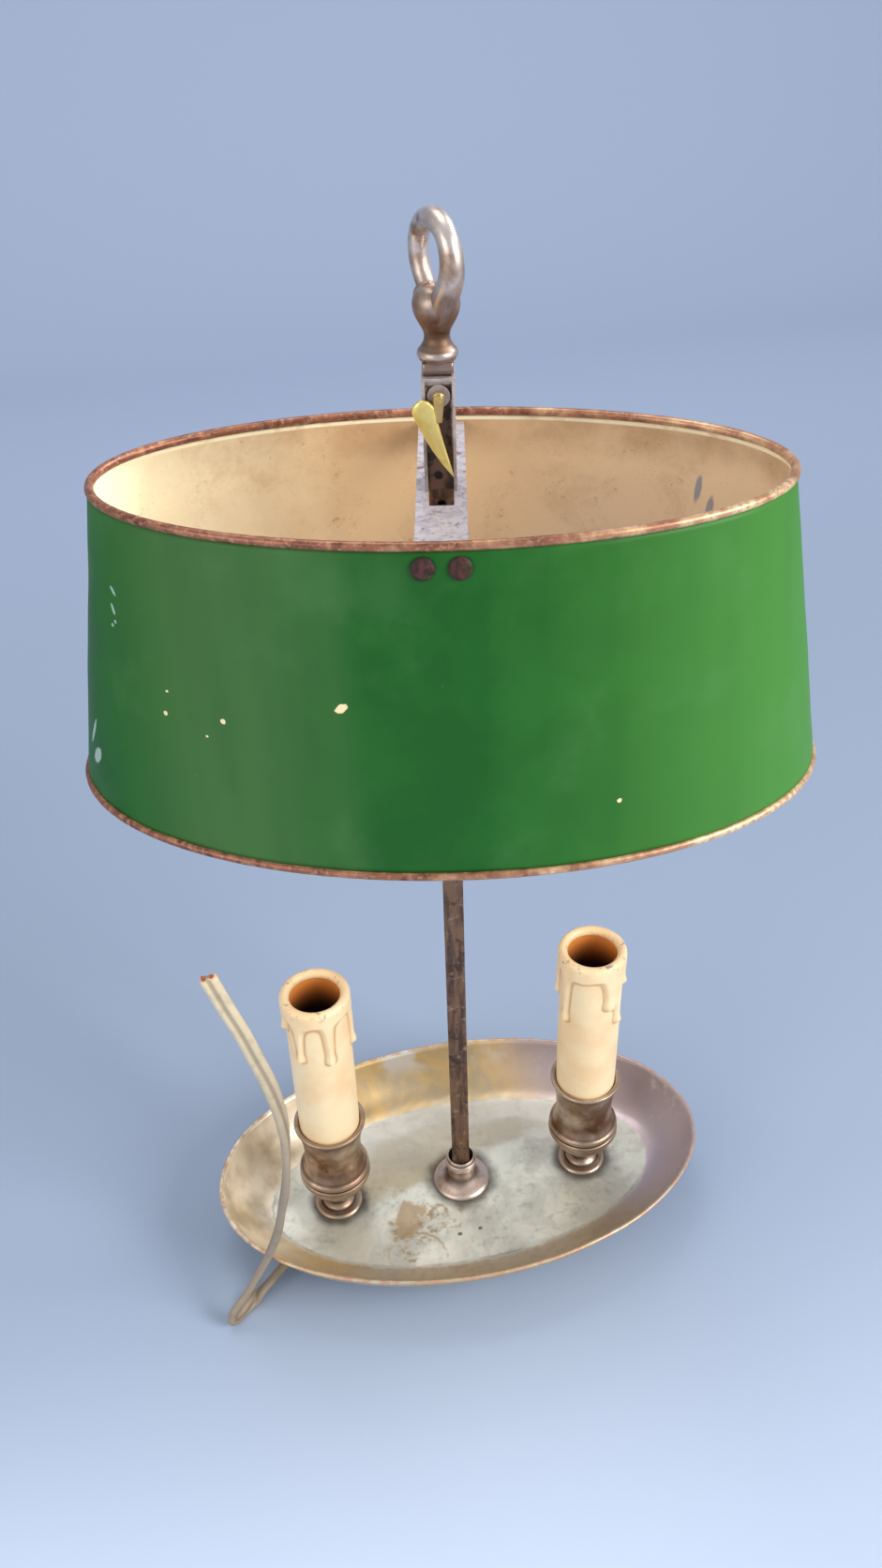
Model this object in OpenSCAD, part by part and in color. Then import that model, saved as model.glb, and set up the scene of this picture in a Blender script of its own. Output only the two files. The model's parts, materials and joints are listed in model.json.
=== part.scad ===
// Two-light oval table lamp: a dished tray on button feet, two turned candle cups
// with drip sleeves, a square stem with a ring handle, and an oval sheet-metal
// shade that slides on the stem and is held by a thumb screw with a leaf grip.
// Millimetres, +Z up, origin on the surface under the middle of the tray.

/* [Tray] */
// Half length of the flat tray floor
floor_half_l = 89; // [80:1:110]
// Half width of the flat tray floor
floor_half_w = 43; // [38:1:60]
// How far the sloping side reaches outward, all round
side_reach = 22; // [14:1:26]
// Rise of the rim above the tray floor
side_rise = 21; // [14:1:28]
// Thickness of the tray sheet
tray_sheet = 1.2; // [0.8:0.1:2]
// Radius of the bead rolled on the tray rim
tray_bead_r = 1.4; // [1:0.1:2]

/* [Feet] */
// Height of each button foot
foot_h = 14; // [13:0.5:18]
// Radius of each button foot at its fullest
foot_r = 6.2; // [4:0.1:8]
// Distance of the front and back feet from the middle
foot_y = 39; // [30:1:39]
// Distance of the end feet from the middle
foot_x = 78; // [74:1:82]

/* [Stem] */
// Side of the square stem
stem_side = 8; // [7:0.1:8.6]
// Height of the top of the stem above the surface
stem_top = 412; // [380:1:440]
// Turn of the stem, shade and finial in the tray, seen from above
stem_turn = -11; // [-20:1:0]
// Radius of the threaded stud under the stem
stud_r = 3; // [2.5:0.1:3.4]
// Radius of the holes drilled in the stem
stem_hole_r = 1.5; // [1:0.1:2]
// Spacing of the holes drilled in the stem
stem_hole_pitch = 36; // [30:1:44]
// Radius of the domed disc under the stem
socket_disc_r = 13.3; // [12:0.1:16]
// Radius of the ring round the mouth of the stem socket
socket_ring_r = 7.3; // [7.1:0.1:9]
// Height of the stem socket
socket_h = 18; // [15:0.5:24]

/* [Candle cups] */
// Distance of each candle cup from the stem
cup_x = 59.5; // [54:0.5:63]
// Radius of the turned disc under each cup
cup_disc_r = 11.1; // [9:0.1:14]
// Radius of the neck of each cup
cup_neck_r = 4; // [3.6:0.1:5]
// Radius of the double bead round each cup
cup_bead_r = 16.2; // [15.4:0.1:18]
// Radius of the rim of each cup
cup_rim_r = 16; // [15.8:0.1:17]
// Height of each cup above the tray floor
cup_h = 59.5; // [56:0.5:64]
// Depth of the seat that the drip sleeve stands in
cup_seat_depth = 4; // [3:0.5:5]
// Radius of the wire bore through each cup
cup_bore_r = 2.2; // [2:0.1:2.4]

/* [Lampholders] */
// Outer radius of the lampholder tube
holder_r = 11.2; // [10.6:0.1:11.3]
// Height of the lampholder tube
holder_h = 84; // [78:1:96]
// Inner radius of the metal screw shell
shell_bore_r = 7; // [6.8:0.1:7.2]
// Length of the metal screw shell
shell_h = 20; // [18:0.5:22]
// Thickness of the metal screw shell
shell_wall = 0.8; // [0.6:0.1:1]
// Outer radius of the threaded nipple under the lampholder
nipple_r = 4.6; // [4:0.1:5]

/* [Drip sleeves] */
// Inner radius of the card tube
card_bore_r = 11.6; // [11.5:0.1:11.8]
// Thickness of the card tube
card_wall = 0.7; // [0.5:0.1:0.8]
// Thickness of the plain wax skin
wax_wall = 1.1; // [0.9:0.1:1.2]
// How far the thick lip and the drips stand out from the skin
drip_depth = 1.4; // [1:0.1:2]
// Height of each drip sleeve
sleeve_h = 85; // [80:1:100]
// Height of the thick lip round the top of the sleeve
lip_h = 11; // [10:1:20]

/* [Shade] */
// Half length of the shade at its top
shade_top_l = 112.5; // [105:0.5:118]
// Half width of the shade at its top
shade_top_w = 52.5; // [46:0.5:60]
// How much wider the shade is at its foot, on each side
shade_flare = 19.5; // [12:0.5:26]
// Height of the shade from the middle of one rim to the other
shade_h = 107.5; // [90:0.5:120]
// Thickness of the shade sheet
shade_sheet = 0.9; // [0.7:0.1:1.2]
// Radius of the wired rims
rim_r = 1.6; // [1.4:0.1:2.4]
// Height of the middle of the top rim when the shade is at its highest
shade_top_z = 376; // [340:1:376]
// How far the shade slides down the stem
shade_travel = 140; // [80:1:150]

/* [Crossbar] */
// Width of the slotted crossbar
bar_w = 16; // [15:0.5:20]
// Thickness of the crossbar
bar_t = 1.2; // [0.8:0.1:1.6]
// How far the crossbar lies below the middle of the top rim
bar_drop = 3.6; // [3.2:0.1:5]
// Length of the turned-down end of the crossbar
bar_flange = 10; // [9:0.5:14]
// Length of the slot in the crossbar
slot_l = 34; // [24:1:40]
// Radius of the rivet heads
rivet_head_r = 3.6; // [2.6:0.1:3.7]
// Radius of the rivet shanks
rivet_r = 1.3; // [1:0.1:1.4]
// Half the spacing of the two rivets at each end
rivet_x = 5.5; // [4.6:0.1:5.6]

/* [Clamp] */
// Wall of the square clamp sleeve
clamp_wall = 1; // [0.8:0.1:1.3]
// Height of the clamp sleeve above the crossbar
clamp_h = 36; // [32:0.5:36]
// Radius of the round boss of the clamp
boss_r = 3.5; // [3.2:0.1:4]
// Radius of the thumb screw's shank
screw_r = 1.5; // [1.2:0.1:1.8]
// Distance of the thumb screw below the top of the clamp sleeve
screw_drop = 5.5; // [4.6:0.1:6.5]
// Length of the leaf grip
leaf_l = 27; // [22:0.5:28]
// Radius of the round head of the leaf grip
leaf_r = 4.1; // [3:0.1:4.4]

/* [Finial] */
// Outer radius of the ring handle
ring_r = 14; // [12:0.5:16]
// Radius of the finger hole in the ring handle
ring_hole_r = 7.2; // [6.8:0.1:8.6]
// Thickness of the ring handle across its flat
ring_w = 6.4; // [4.6:0.1:7]
// Turn of the ring handle from the face of the stem
ring_turn = 27; // [10:1:60]
// Radius of the finial collar
collar_r = 6.3; // [6:0.1:7.5]

/* [Cord] */
// Width of the flat twin cord
cord_w = 6.2; // [5:0.1:7]
// Thickness of the flat twin cord
cord_t = 3.1; // [2.6:0.1:3.4]
// Radius of the wires inside the lamp
wire_r = 1.3; // [1:0.1:1.6]

/* [Fits] */
// Gap on each side where the clamp sleeve runs on the stem
run_gap = 0.06; // [0.03:0.01:0.1]
// Gap on each side where a fixed piece passes through a hole
hole_gap = 0.1; // [0.05:0.01:0.2]
// Gap between the drip sleeve and the cup seat
seat_gap = 0.3; // [0.2:0.05:0.4]

/* [Hidden] */
$fn = 64;

around = 96;                      // points round each oval
under_tray = foot_h;              // underside of the tray floor
tray_top = foot_h + tray_sheet;   // upper face of the tray floor

washer_t = 0.8;
nut_h = 3.2;
stud_bottom = under_tray - washer_t - nut_h - 1.5;
socket_floor = 5;                 // solid part of the socket under the stem
bore_side = stem_side + 2 * hole_gap;

cup_top = tray_top + cup_h;
seat_z = cup_top - cup_seat_depth;
well_r = holder_r + 0.35;         // the well that the lampholder stands in
well_z = tray_top + 29;           // floor of that well
nipple_foot = well_z - 8;
holder_base = 3;
shell_z = well_z + holder_h - shell_h - 2;
shelf_t = 3;                      // insulating shelf under the screw shell
contact_t = 2.4;
contact_z = shell_z - contact_t - 0.6;  // floor of the pocket that the contact lies in

block_x = -29;                    // terminal block under the tray
block_y = -15;
block_l = 18;
block_w = 16;
block_h = 7.5;
clip_gap = 0.8;                   // room round the cord inside its strap
clip_half = cord_w / 2 + clip_gap;

card_r = card_bore_r + card_wall;
wax_r = card_r + wax_wall;
seat_r = wax_r + seat_gap;

bar_top = shade_top_z - bar_drop;
bar_z = bar_top - bar_t;
flare_angle = atan(shade_flare / shade_h);
wall_gap = 0.2;                   // between the turned-down ends and the shade wall
bar_half = shade_top_w + shade_flare * bar_drop / shade_h - shade_sheet - wall_gap;
rivet_drop = 2.9;                 // rivets below the top of the crossbar
rivet_grip = bar_t + wall_gap + shade_sheet + 0.15;
bore = stem_side + 2 * run_gap;
clamp_side = bore + 2 * clamp_wall;
frame_t = 1.4;                    // raised edge round the face of the clamp
boss_y = clamp_side / 2 + frame_t;
screw_h = clamp_h - screw_drop;   // thumb screw above the crossbar
screw_z = bar_top + screw_h;
leaf_y = boss_y + 0.7;            // back face of the leaf grip
leaf_t = 2.2;
leaf_tilt = 26;                   // lean of the leaf from upright
leaf_point = leaf_l - leaf_r;     // tip of the leaf from the middle of its head
leaf_lift = 5.5;                  // gap between the tip of the leaf and the crossbar
leaf_drop = screw_h - leaf_point * cos(leaf_tilt) - leaf_lift;
leaf_side = 4.7;                  // head of the leaf left of the screw

ferrule_z = bar_top + clamp_h + 0.6;
ferrule_side = stem_side + 1.6;
collar_z = stem_top;
bowl_h = 18.6;                    // flat top of the bowl above the collar's foot
bowl_r = 7.3;
ring_sink = 3;                    // how much of the ring's foot is cut away flat
ring_z = collar_z + bowl_h - ring_sink + ring_r;

nickel = [0.66, 0.60, 0.55];
pewter = [0.74, 0.72, 0.66];
brass = [0.85, 0.75, 0.42];
dark_iron = [0.33, 0.26, 0.22];
zinc = [0.68, 0.66, 0.68];
paint = [0.13, 0.40, 0.17];
rim_brown = [0.60, 0.42, 0.28];
wax = [0.93, 0.86, 0.68];
card = [0.60, 0.34, 0.14];
dark_plastic = [0.12, 0.11, 0.10];

// Route of the cord: x, y, z, then the direction of its width
CORD = [
    [-38, -15, 10, 0, 1, 0], [-42, -15, 10, 0, 1, 0], [-49, -15.4, 11.2, 0.1, 1, 0],
    [-58, -16.2, 12, 0.1, 1, 0], [-65, -17.2, 12.2, 0.1, 1, 0], [-71, -18, 12.2, 0.1, 1, 0],
    [-77, -19, 12, 0.2, 1, 0], [-83, -21, 10.2, 0.3, 0.9, 0],
    [-89, -24.2, 7.4, 0.5, 0.9, 0], [-95, -28.6, 5.2, 0.6, 0.8, 0],
    [-101, -33.2, 3.6, 0.7, 0.7, 0.1],
    [-107, -38.4, 2.8, 0.7, 0.7, 0.2], [-111, -42.2, 2.8, 0.7, 0.7, 0.2],
    [-113.4, -44.4, 4.4, 0.7, 0.7, 0], [-113.2, -44.2, 7.8, 0.7, 0.7, 0],
    [-110.4, -43.2, 12.4, 0.7, 0.7, -0.1], [-106, -41.8, 18, 0.6, 0.8, -0.1],
    [-101, -40.8, 26.4, 0.5, 0.9, -0.1], [-95.6, -40.8, 37.6, 0.4, 0.9, 0],
    [-91, -42.6, 51, 0.2, 1, 0], [-87.4, -45.6, 66, 0.1, 1, 0],
    [-84.8, -48.6, 82, 0.1, 1, 0], [-82, -50.8, 98, 0, 1, 0],
    [-80, -52, 114, 0.1, 1, 0], [-79, -53, 130, 0.3, 1, 0], [-79, -54.5, 144, 0.6, 0.8, 0],
    [-80, -56, 157, 0.8, 0.6, 0], [-82, -57, 171, 0.9, 0.3, 0.1],
    [-85, -58.5, 186, 1, 0.1, 0.2], [-88, -60, 201, 1, 0, 0.2], [-92, -61, 216, 1, 0, 0.2],
    [-96, -62, 232, 1, 0, 0.3]
];
CLIP_POINT = 5;                   // the point of the route that the clip holds

// Drips on each sleeve: angle, length below the top, half width
LEFT_DRIPS = [[196, 16, 2], [233, 33, 2.2], [288, 35, 2.3], [330, 33, 2.3], [12, 26, 2.2],
    [52, 38, 2.3], [98, 24, 2.5], [142, 34, 2.1]];
RIGHT_DRIPS = [[203, 36, 2.3], [289, 26, 2.6], [312, 37, 2.2], [350, 22, 2], [34, 34, 2.3],
    [75, 25, 2.1], [118, 37, 2.4], [160, 28, 2.2]];

// ---- ovals and sweeps -------------------------------------------------

// One ring of points on an oval of half sizes a and b at height z
function oval(a, b, z) =
    [for (i = [0 : around - 1]) [a * cos(360 * i / around), b * sin(360 * i / around), z]];

// Triangles that join closed rings of n points into a tube, k rings in a loop
function loop_faces(n, k) = [
    for (r = [0 : k - 1], i = [0 : n - 1], half = [0, 1])
        let (s = (r + 1) % k, j = (i + 1) % n)
            half == 0 ? [r * n + i, s * n + i, s * n + j] : [r * n + i, s * n + j, r * n + j]
];

// A band round an oval: profile points give outward reach and height
module oval_band(a, b, profile) {
    rings = [for (p = profile) oval(a + p[0], b + p[0], p[1])];
    points = [for (ring = rings, p = ring) p];
    polyhedron(points = points, faces = loop_faces(around, len(profile)), convexity = 6);
}

// A dish: the first and last profile points lie on the axis side and are capped
module oval_dish(a, b, profile) {
    rings = [for (p = profile) oval(a + p[0], b + p[0], p[1])];
    points = [for (ring = rings, p = ring) p];
    k = len(profile);
    walls = [
        for (r = [0 : k - 2], i = [0 : around - 1], half = [0, 1])
            let (j = (i + 1) % around)
                half == 0 ? [r * around + i, (r + 1) * around + i, (r + 1) * around + j]
                          : [r * around + i, (r + 1) * around + j, r * around + j]
    ];
    first_cap = [for (i = [0 : around - 1]) i];
    last_cap = [for (i = [around - 1 : -1 : 0]) (k - 1) * around + i];
    polyhedron(points = points, faces = concat([first_cap], walls, [last_cap]), convexity = 6);
}

// A round profile for a wired rim
function wire_profile(r, z, sides = 10) =
    [for (i = [0 : sides - 1]) [r * cos(360 * i / sides), z - r * sin(360 * i / sides)]];

function unit(v) = v / norm(v);
function place(p) = [p[0], p[1], p[2]];
function width_of(p) = [p[3], p[4], p[5]];
function run_of(pts, i) =
    let (a = place(pts[max(i - 1, 0)]), b = place(pts[min(i + 1, len(pts) - 1)])) unit(b - a);
function across(pts, i) =
    let (t = run_of(pts, i), w = width_of(pts[i])) unit(w - (w * t) * t);

// A flat cord swept along its route with an eight-sided section
module flat_cord(pts, wide, thick) {
    sides = 8;
    points = [
        for (i = [0 : len(pts) - 1], s = [0 : sides - 1])
            let (w = across(pts, i), n = cross(run_of(pts, i), w), a = 360 * (s + 0.5) / sides)
                place(pts[i]) + w * wide / 2 * cos(a) / cos(180 / sides)
                    + n * thick / 2 * sin(a) / cos(180 / sides)
    ];
    k = len(pts);
    walls = [
        for (r = [0 : k - 2], i = [0 : sides - 1], half = [0, 1])
            let (j = (i + 1) % sides)
                half == 0 ? [r * sides + i, (r + 1) * sides + j, (r + 1) * sides + i]
                          : [r * sides + i, r * sides + j, (r + 1) * sides + j]
    ];
    first_cap = [for (i = [sides - 1 : -1 : 0]) i];
    last_cap = [for (i = [0 : sides - 1]) (k - 1) * sides + i];
    polyhedron(points = points, faces = concat([first_cap], walls, [last_cap]));
}

module tube(r_out, r_in, h) {
    difference() {
        cylinder(r = r_out, h = h);
        translate([0, 0, -1]) cylinder(r = r_in, h = h + 2);
    }
}

module washer(r_out, r_in) {
    tube(r_out, r_in, washer_t);
}

module hex_nut(across_flats, r_in) {
    difference() {
        cylinder(r = across_flats / 2 / cos(30), h = nut_h, $fn = 6);
        translate([0, 0, -1]) cylinder(r = r_in, h = nut_h + 2);
    }
}

module both_cups() {
    for (side = [-1, 1]) translate([side * cup_x, 0, 0]) children();
}

module turned_stem() {
    rotate([0, 0, stem_turn]) children();
}

// ---- base ---------------------------------------------------------------

// Dished oval tray with a beaded rim
module tray() {
    cove = 62;                    // slope of the side where it meets the bead
    steps = 6;
    // share of the reach and of the rise at each step of the cove
    curve = [for (i = [0 : steps]) let (a = cove * i / steps)
        [side_reach * sin(a) / sin(cove), side_rise * (1 - cos(a)) / (1 - cos(cove))]];
    inside = [for (p = curve) [p[0], tray_top + p[1]]];
    bead = [for (a = [150 : -48 : -90]) [side_reach + tray_bead_r * (0.9 + cos(a)),
        tray_top + side_rise + tray_bead_r * (sin(a) - 0.5)]];
    outside = [for (i = [steps - 1 : -1 : 0]) let (a = cove * i / steps)
        [curve[i][0] + tray_sheet * sin(a), tray_top + curve[i][1] - tray_sheet * cos(a)]];
    color(pewter) difference() {
        oval_dish(floor_half_l, floor_half_w, concat(inside, bead, outside));
        translate([0, 0, under_tray - 1])
            cylinder(r = stud_r + hole_gap, h = tray_sheet + 2);
        both_cups() translate([0, 0, under_tray - 1])
            cylinder(r = cup_neck_r + hole_gap, h = tray_sheet + 2);
    }
}

module button_foot() {
    rotate_extrude()
        polygon([[0, 0], [foot_r * 0.7, 0], [foot_r * 0.92, foot_h * 0.1],
            [foot_r, foot_h * 0.26], [foot_r * 0.92, foot_h * 0.42],
            [foot_r * 0.6, foot_h * 0.55], [foot_r * 0.42, foot_h * 0.68],
            [foot_r * 0.56, foot_h * 0.78], [foot_r * 0.6, foot_h], [0, foot_h]]);
}

// Four turned feet under the edge of the tray floor
module feet() {
    color(nickel) {
        for (side = [-1, 1]) {
            translate([0, side * foot_y, 0]) button_foot();
            translate([side * foot_x, 0, 0]) button_foot();
        }
    }
}

// Turned socket that holds the foot of the stem
module stem_socket() {
    neck = bore_side * 0.77;
    color(nickel) translate([0, 0, tray_top]) difference() {
        rotate_extrude() polygon([
            [0, 0], [socket_disc_r, 0], [socket_disc_r, 1], [socket_disc_r * 0.9, 2],
            [socket_disc_r * 0.7, 2.9], [neck + 0.8, 3.8], [neck, 5.2],
            [neck, socket_h * 0.62], [socket_ring_r - 0.5, socket_h * 0.66],
            [socket_ring_r, socket_h * 0.74], [socket_ring_r, socket_h * 0.88],
            [socket_ring_r - 0.5, socket_h * 0.96], [neck + 0.2, socket_h], [0, socket_h]]);
        rotate([0, 0, stem_turn]) translate([-bore_side / 2, -bore_side / 2, socket_floor])
            cube([bore_side, bore_side, socket_h]);
        translate([0, 0, -1]) cylinder(r = stud_r + hole_gap, h = socket_floor + 2);
    }
}

// Square stem with a threaded stud below and a row of drilled holes
module stem() {
    foot = tray_top + socket_floor;
    holes = floor(shade_travel / stem_hole_pitch);
    color(dark_iron) turned_stem() {
        difference() {
            translate([-stem_side / 2, -stem_side / 2, foot])
                cube([stem_side, stem_side, stem_top - foot]);
            for (i = [0 : holes])
                translate([0, 0, screw_z - stem_hole_pitch * i]) rotate([90, 0, 0])
                    cylinder(r = stem_hole_r, h = stem_side / 2 + 1);
        }
        translate([0, 0, stud_bottom]) cylinder(r = stud_r, h = foot - stud_bottom + 1);
    }
}

module stem_washer() {
    color(pewter) translate([0, 0, under_tray - washer_t]) washer(stud_r + 4, stud_r + hole_gap);
}

module stem_nut() {
    color(brass) translate([0, 0, under_tray - washer_t - nut_h])
        hex_nut(stud_r * 2 + 4.5, stud_r + hole_gap);
}

// Turned candle cup: disc, neck, bowl with a double bead, waist and rim
module candle_cup() {
    top = cup_h;
    bead = cup_bead_r;
    spigot = tray_top - stud_bottom;
    color(nickel) translate([0, 0, tray_top]) difference() {
        rotate_extrude() polygon([
            [0, -spigot], [cup_neck_r, -spigot], [cup_neck_r, 0], [cup_disc_r, 0],
            [cup_disc_r, 0.8], [cup_disc_r * 0.92, 1.8], [cup_disc_r * 0.66, 2.4],
            [cup_disc_r * 0.6, 3.2], [cup_disc_r * 0.42, 4.2], [cup_neck_r, 6.4],
            [cup_neck_r, 9.4], [cup_neck_r + 1.2, 10.8], [cup_neck_r + 5, 12.4],
            [bead - 4.6, 15.2], [bead - 2, 18.6], [bead - 0.7, 22],
            [bead - 0.1, 23.2], [bead, 24.6], [bead - 0.5, 26], [bead - 1, 26.5],
            [bead - 0.3, 27.4], [bead - 0.2, 28.8], [bead - 0.8, 30.2],
            [bead - 1.8, 31.6], [well_r + 1.6, 35], [well_r + 1.3, 40], [well_r + 1.5, 45],
            [well_r + 2.2, 50], [cup_rim_r - 1.2, top - 4.5], [cup_rim_r - 0.3, top - 2],
            [cup_rim_r, top - 0.8], [cup_rim_r - 0.3, top], [seat_r + 0.4, top],
            [seat_r, top - 1], [seat_r, top - cup_seat_depth], [0, top - cup_seat_depth]]);
        translate([0, 0, well_z - tray_top]) cylinder(r = well_r, h = cup_h);
        translate([0, 0, nipple_foot - tray_top])
            cylinder(r = nipple_r + hole_gap, h = cup_h);
        translate([0, 0, -spigot - 1]) cylinder(r = cup_bore_r, h = cup_h);
    }
}

module cup_washers() {
    color(pewter) both_cups() translate([0, 0, under_tray - washer_t])
        washer(cup_neck_r + 4, cup_neck_r + hole_gap);
}

module cup_nuts() {
    color(brass) both_cups() translate([0, 0, under_tray - washer_t - nut_h])
        hex_nut(cup_neck_r * 2 + 5, cup_neck_r + hole_gap);
}

// Threaded nipple that carries the lampholder in the cup
module nipple() {
    color(brass) translate([0, 0, nipple_foot])
        tube(nipple_r, cup_bore_r, well_z + holder_base + 2 - nipple_foot);
}

// Lampholder: a tall insulating tube. The screw shell stands on a narrow ledge over
// the pocket for the centre contact, so a lamp's cap can't press on the contact's edge.
module lampholder() {
    shell_r = shell_bore_r + shell_wall;
    pocket_r = shell_bore_r + shell_wall / 2;
    shelf_z = contact_z - shelf_t - well_z;
    color(dark_plastic) translate([0, 0, well_z]) difference() {
        cylinder(r = holder_r, h = holder_h);
        translate([0, 0, -1]) cylinder(r = nipple_r + hole_gap, h = holder_base + 2);
        translate([0, 0, holder_base])
            cylinder(r = holder_r - 2, h = shelf_z - holder_base);
        translate([0, 0, shelf_z - 1]) cylinder(r = cup_bore_r, h = shelf_t + 2);
        translate([0, 0, contact_z - well_z]) cylinder(r = pocket_r, h = contact_t + 2);
        translate([0, 0, shell_z - well_z]) cylinder(r = shell_r + hole_gap, h = shell_h + 3);
    }
}

module screw_shell() {
    color(brass) translate([0, 0, shell_z])
        tube(shell_bore_r + shell_wall, shell_bore_r, shell_h);
}

// Sprung centre contact on the floor of the pocket under the screw shell
module centre_contact() {
    color(brass) translate([0, 0, contact_z]) {
        cylinder(r = shell_bore_r * 0.55, h = contact_t / 3);
        cylinder(r = shell_bore_r * 0.3, h = contact_t);
    }
}

// Two-core wire from the terminal block up to the centre contact of one lampholder
module inner_wire(side) {
    low = wire_r + 2.2;           // height at which the wire passes under the nuts
    lead = 3;                     // straight stretch where it leaves the block
    level = under_tray - block_h / 2;
    x = side * cup_x;
    leave = side < 0 ? [0, 1] : [1, 0];
    start = side < 0 ? [block_x - block_l / 3, block_y + block_w / 2]
                     : [block_x + block_l / 2, block_y + block_w / 4];
    out = start + lead * leave;
    bend = out + lead * (leave + [side, 0]) / 2;
    color(dark_plastic) flat_cord([
        [start[0], start[1], level, 0, 0, 1], [out[0], out[1], level, 0, 0, 1],
        [bend[0], bend[1], (level + low) / 2, 0, 0.4, 1],
        [bend[0] + side * 6, bend[1] + 2, low, 0, 1, 0.2],
        [x - side * 8, -2, low, 0, 1, 0], [x - side * 2, 0, low, 0, 1, 0],
        [x, 0, low + 3, 0, 1, 0], [x, 0, contact_z, 0, 1, 0]], 2 * wire_r, 2 * wire_r);
}

// Wax skin of the drip sleeve with its thick lip and hanging drips
module drip_sleeve(drips) {
    top = sleeve_h;
    r_lip = wax_r + drip_depth;
    color(wax) translate([0, 0, seat_z]) difference() {
        union() {
            rotate_extrude() polygon([
                [0, 0], [wax_r, 0], [wax_r, top - lip_h], [r_lip - 0.3, top - lip_h + 4],
                [r_lip, top - 4], [r_lip - 0.6, top - 1.4], [wax_r - 0.8, top],
                [0, top]]);
            for (d = drips) rotate([0, 0, d[0]])
                translate([wax_r - d[2] + drip_depth * 0.9, 0, top - d[1] + d[2]]) {
                    sphere(r = d[2], $fn = 24);
                    cylinder(r = d[2] * 0.88, h = d[1] - d[2] - 5, $fn = 24);
                }
        }
        translate([0, 0, -1]) cylinder(r = card_r + 0.02, h = top + 2);
    }
}

module card_tube() {
    color(card) translate([0, 0, seat_z]) tube(card_r, card_bore_r, sleeve_h - 0.6);
}

// Small two-way terminal block under the tray
module terminal_block() {
    color(dark_plastic) translate([block_x, block_y, under_tray - block_h]) difference() {
        translate([-block_l / 2, -block_w / 2, 0]) cube([block_l, block_w, block_h]);
        block_holes() translate([0, 0, -1]) cylinder(r = 1.5, h = 5);
    }
}

module block_holes() {
    for (x = [-1, 1], y = [-1, 1]) translate([x * block_l / 4, y * block_w / 4, 0]) children();
}

module terminal_screws() {
    color(brass) translate([block_x, block_y, under_tray - block_h])
        block_holes() translate([0, 0, 0.4]) cylinder(r = 1.4, h = 3.6);
}

// Strap that holds the cord against the underside of the tray
module cord_clip() {
    drop = under_tray - CORD[CLIP_POINT][2] + cord_t / 2 + clip_gap;
    at_clip() difference() {
        union() {
            translate([-4, -clip_half - 1, -drop - 1]) cube([8, 2 * clip_half + 2, drop + 1]);
            translate([-4, -clip_half - 7, -1]) cube([8, 2 * clip_half + 14, 1]);
        }
        translate([-5, -clip_half, -drop]) cube([10, 2 * clip_half, drop + 1]);
        for (s = [-1, 1]) translate([0, s * (clip_half + 4), -2]) cylinder(r = 1.6, h = 3);
    }
}

module at_clip() {
    color(zinc) translate([CORD[CLIP_POINT][0], CORD[CLIP_POINT][1], under_tray])
        rotate([0, 0, 7]) children();
}

module clip_screws() {
    at_clip() for (s = [-1, 1]) translate([0, s * (clip_half + 4), -2.4]) {
        cylinder(r = 2.6, h = 1.4);
        cylinder(r = 1.5, h = 2.4);
    }
}

module cord() {
    color([0.80, 0.72, 0.58]) flat_cord(CORD, cord_w, cord_t);
}

// ---- finial ---------------------------------------------------------------

// Square ferrule over the stem, collar, neck and the bowl under the ring
module finial_collar() {
    inside = stem_side + 2 * hole_gap;
    color(nickel) {
        turned_stem() difference() {
            translate([-ferrule_side / 2, -ferrule_side / 2, ferrule_z])
                cube([ferrule_side, ferrule_side, stem_top + 0.4 - ferrule_z]);
            translate([-inside / 2, -inside / 2, ferrule_z - 1])
                cube([inside, inside, stem_top + 1 - ferrule_z]);
        }
        translate([0, 0, collar_z]) rotate_extrude() polygon([
            [0, 0], [collar_r - 1.2, 0], [collar_r - 0.4, 1], [collar_r, 2.2],
            [collar_r - 0.4, 3.4], [collar_r - 1.5, 4.8], [4.2, 6.2], [3.9, 7.4],
            [4.1, 8.8], [4.9, 10.2], [6.1, 12], [bowl_r - 0.3, 14], [bowl_r, 16],
            [bowl_r - 0.4, bowl_h - 1.2], [bowl_r - 1.7, bowl_h], [0, bowl_h]]);
    }
}

// Ring handle with a finger hole and a ball where its far arm ends
module ring_handle() {
    band = ring_r - ring_hole_r;
    mid = (ring_r + ring_hole_r) / 2;
    half = ring_w / 2;
    ball_r = 4.2;
    color(nickel) turned_stem() rotate([0, 0, ring_turn]) difference() {
        union() {
            translate([0, 0, ring_z]) rotate([0, 90, 0]) rotate_extrude() translate([mid, 0])
                polygon([for (i = [0 : 15]) let (a = 360 * i / 16)
                    [band / 2 * cos(a), half * sin(a)]]);
            translate([0, ring_r * 0.5, collar_z + bowl_h + 1]) sphere(r = ball_r);
        }
        // the foot of the ring and its ball are cut to stand on the bowl
        translate([0, 0, collar_z]) cylinder(r = bowl_r + hole_gap, h = bowl_h);
    }
}

// ---- shade ------------------------------------------------------------

// Reach of the shade wall beyond its top size at a height below the top rim
function flare_at(drop) = shade_flare * drop / shade_h;

// Painted sheet-metal wall between the two wired rims
module shade_shell() {
    t = shade_sheet;
    low = shade_h - rim_r;
    color(paint) turned_stem() difference() {
        oval_band(shade_top_l, shade_top_w, [
            [flare_at(low), shade_top_z - low], [flare_at(rim_r), shade_top_z - rim_r],
            [flare_at(rim_r) - t, shade_top_z - rim_r], [flare_at(low) - t, shade_top_z - low]]);
        at_rivets() translate([0, 0, -2]) cylinder(r = rivet_r + hole_gap, h = rivet_grip + 4);
    }
}

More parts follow.
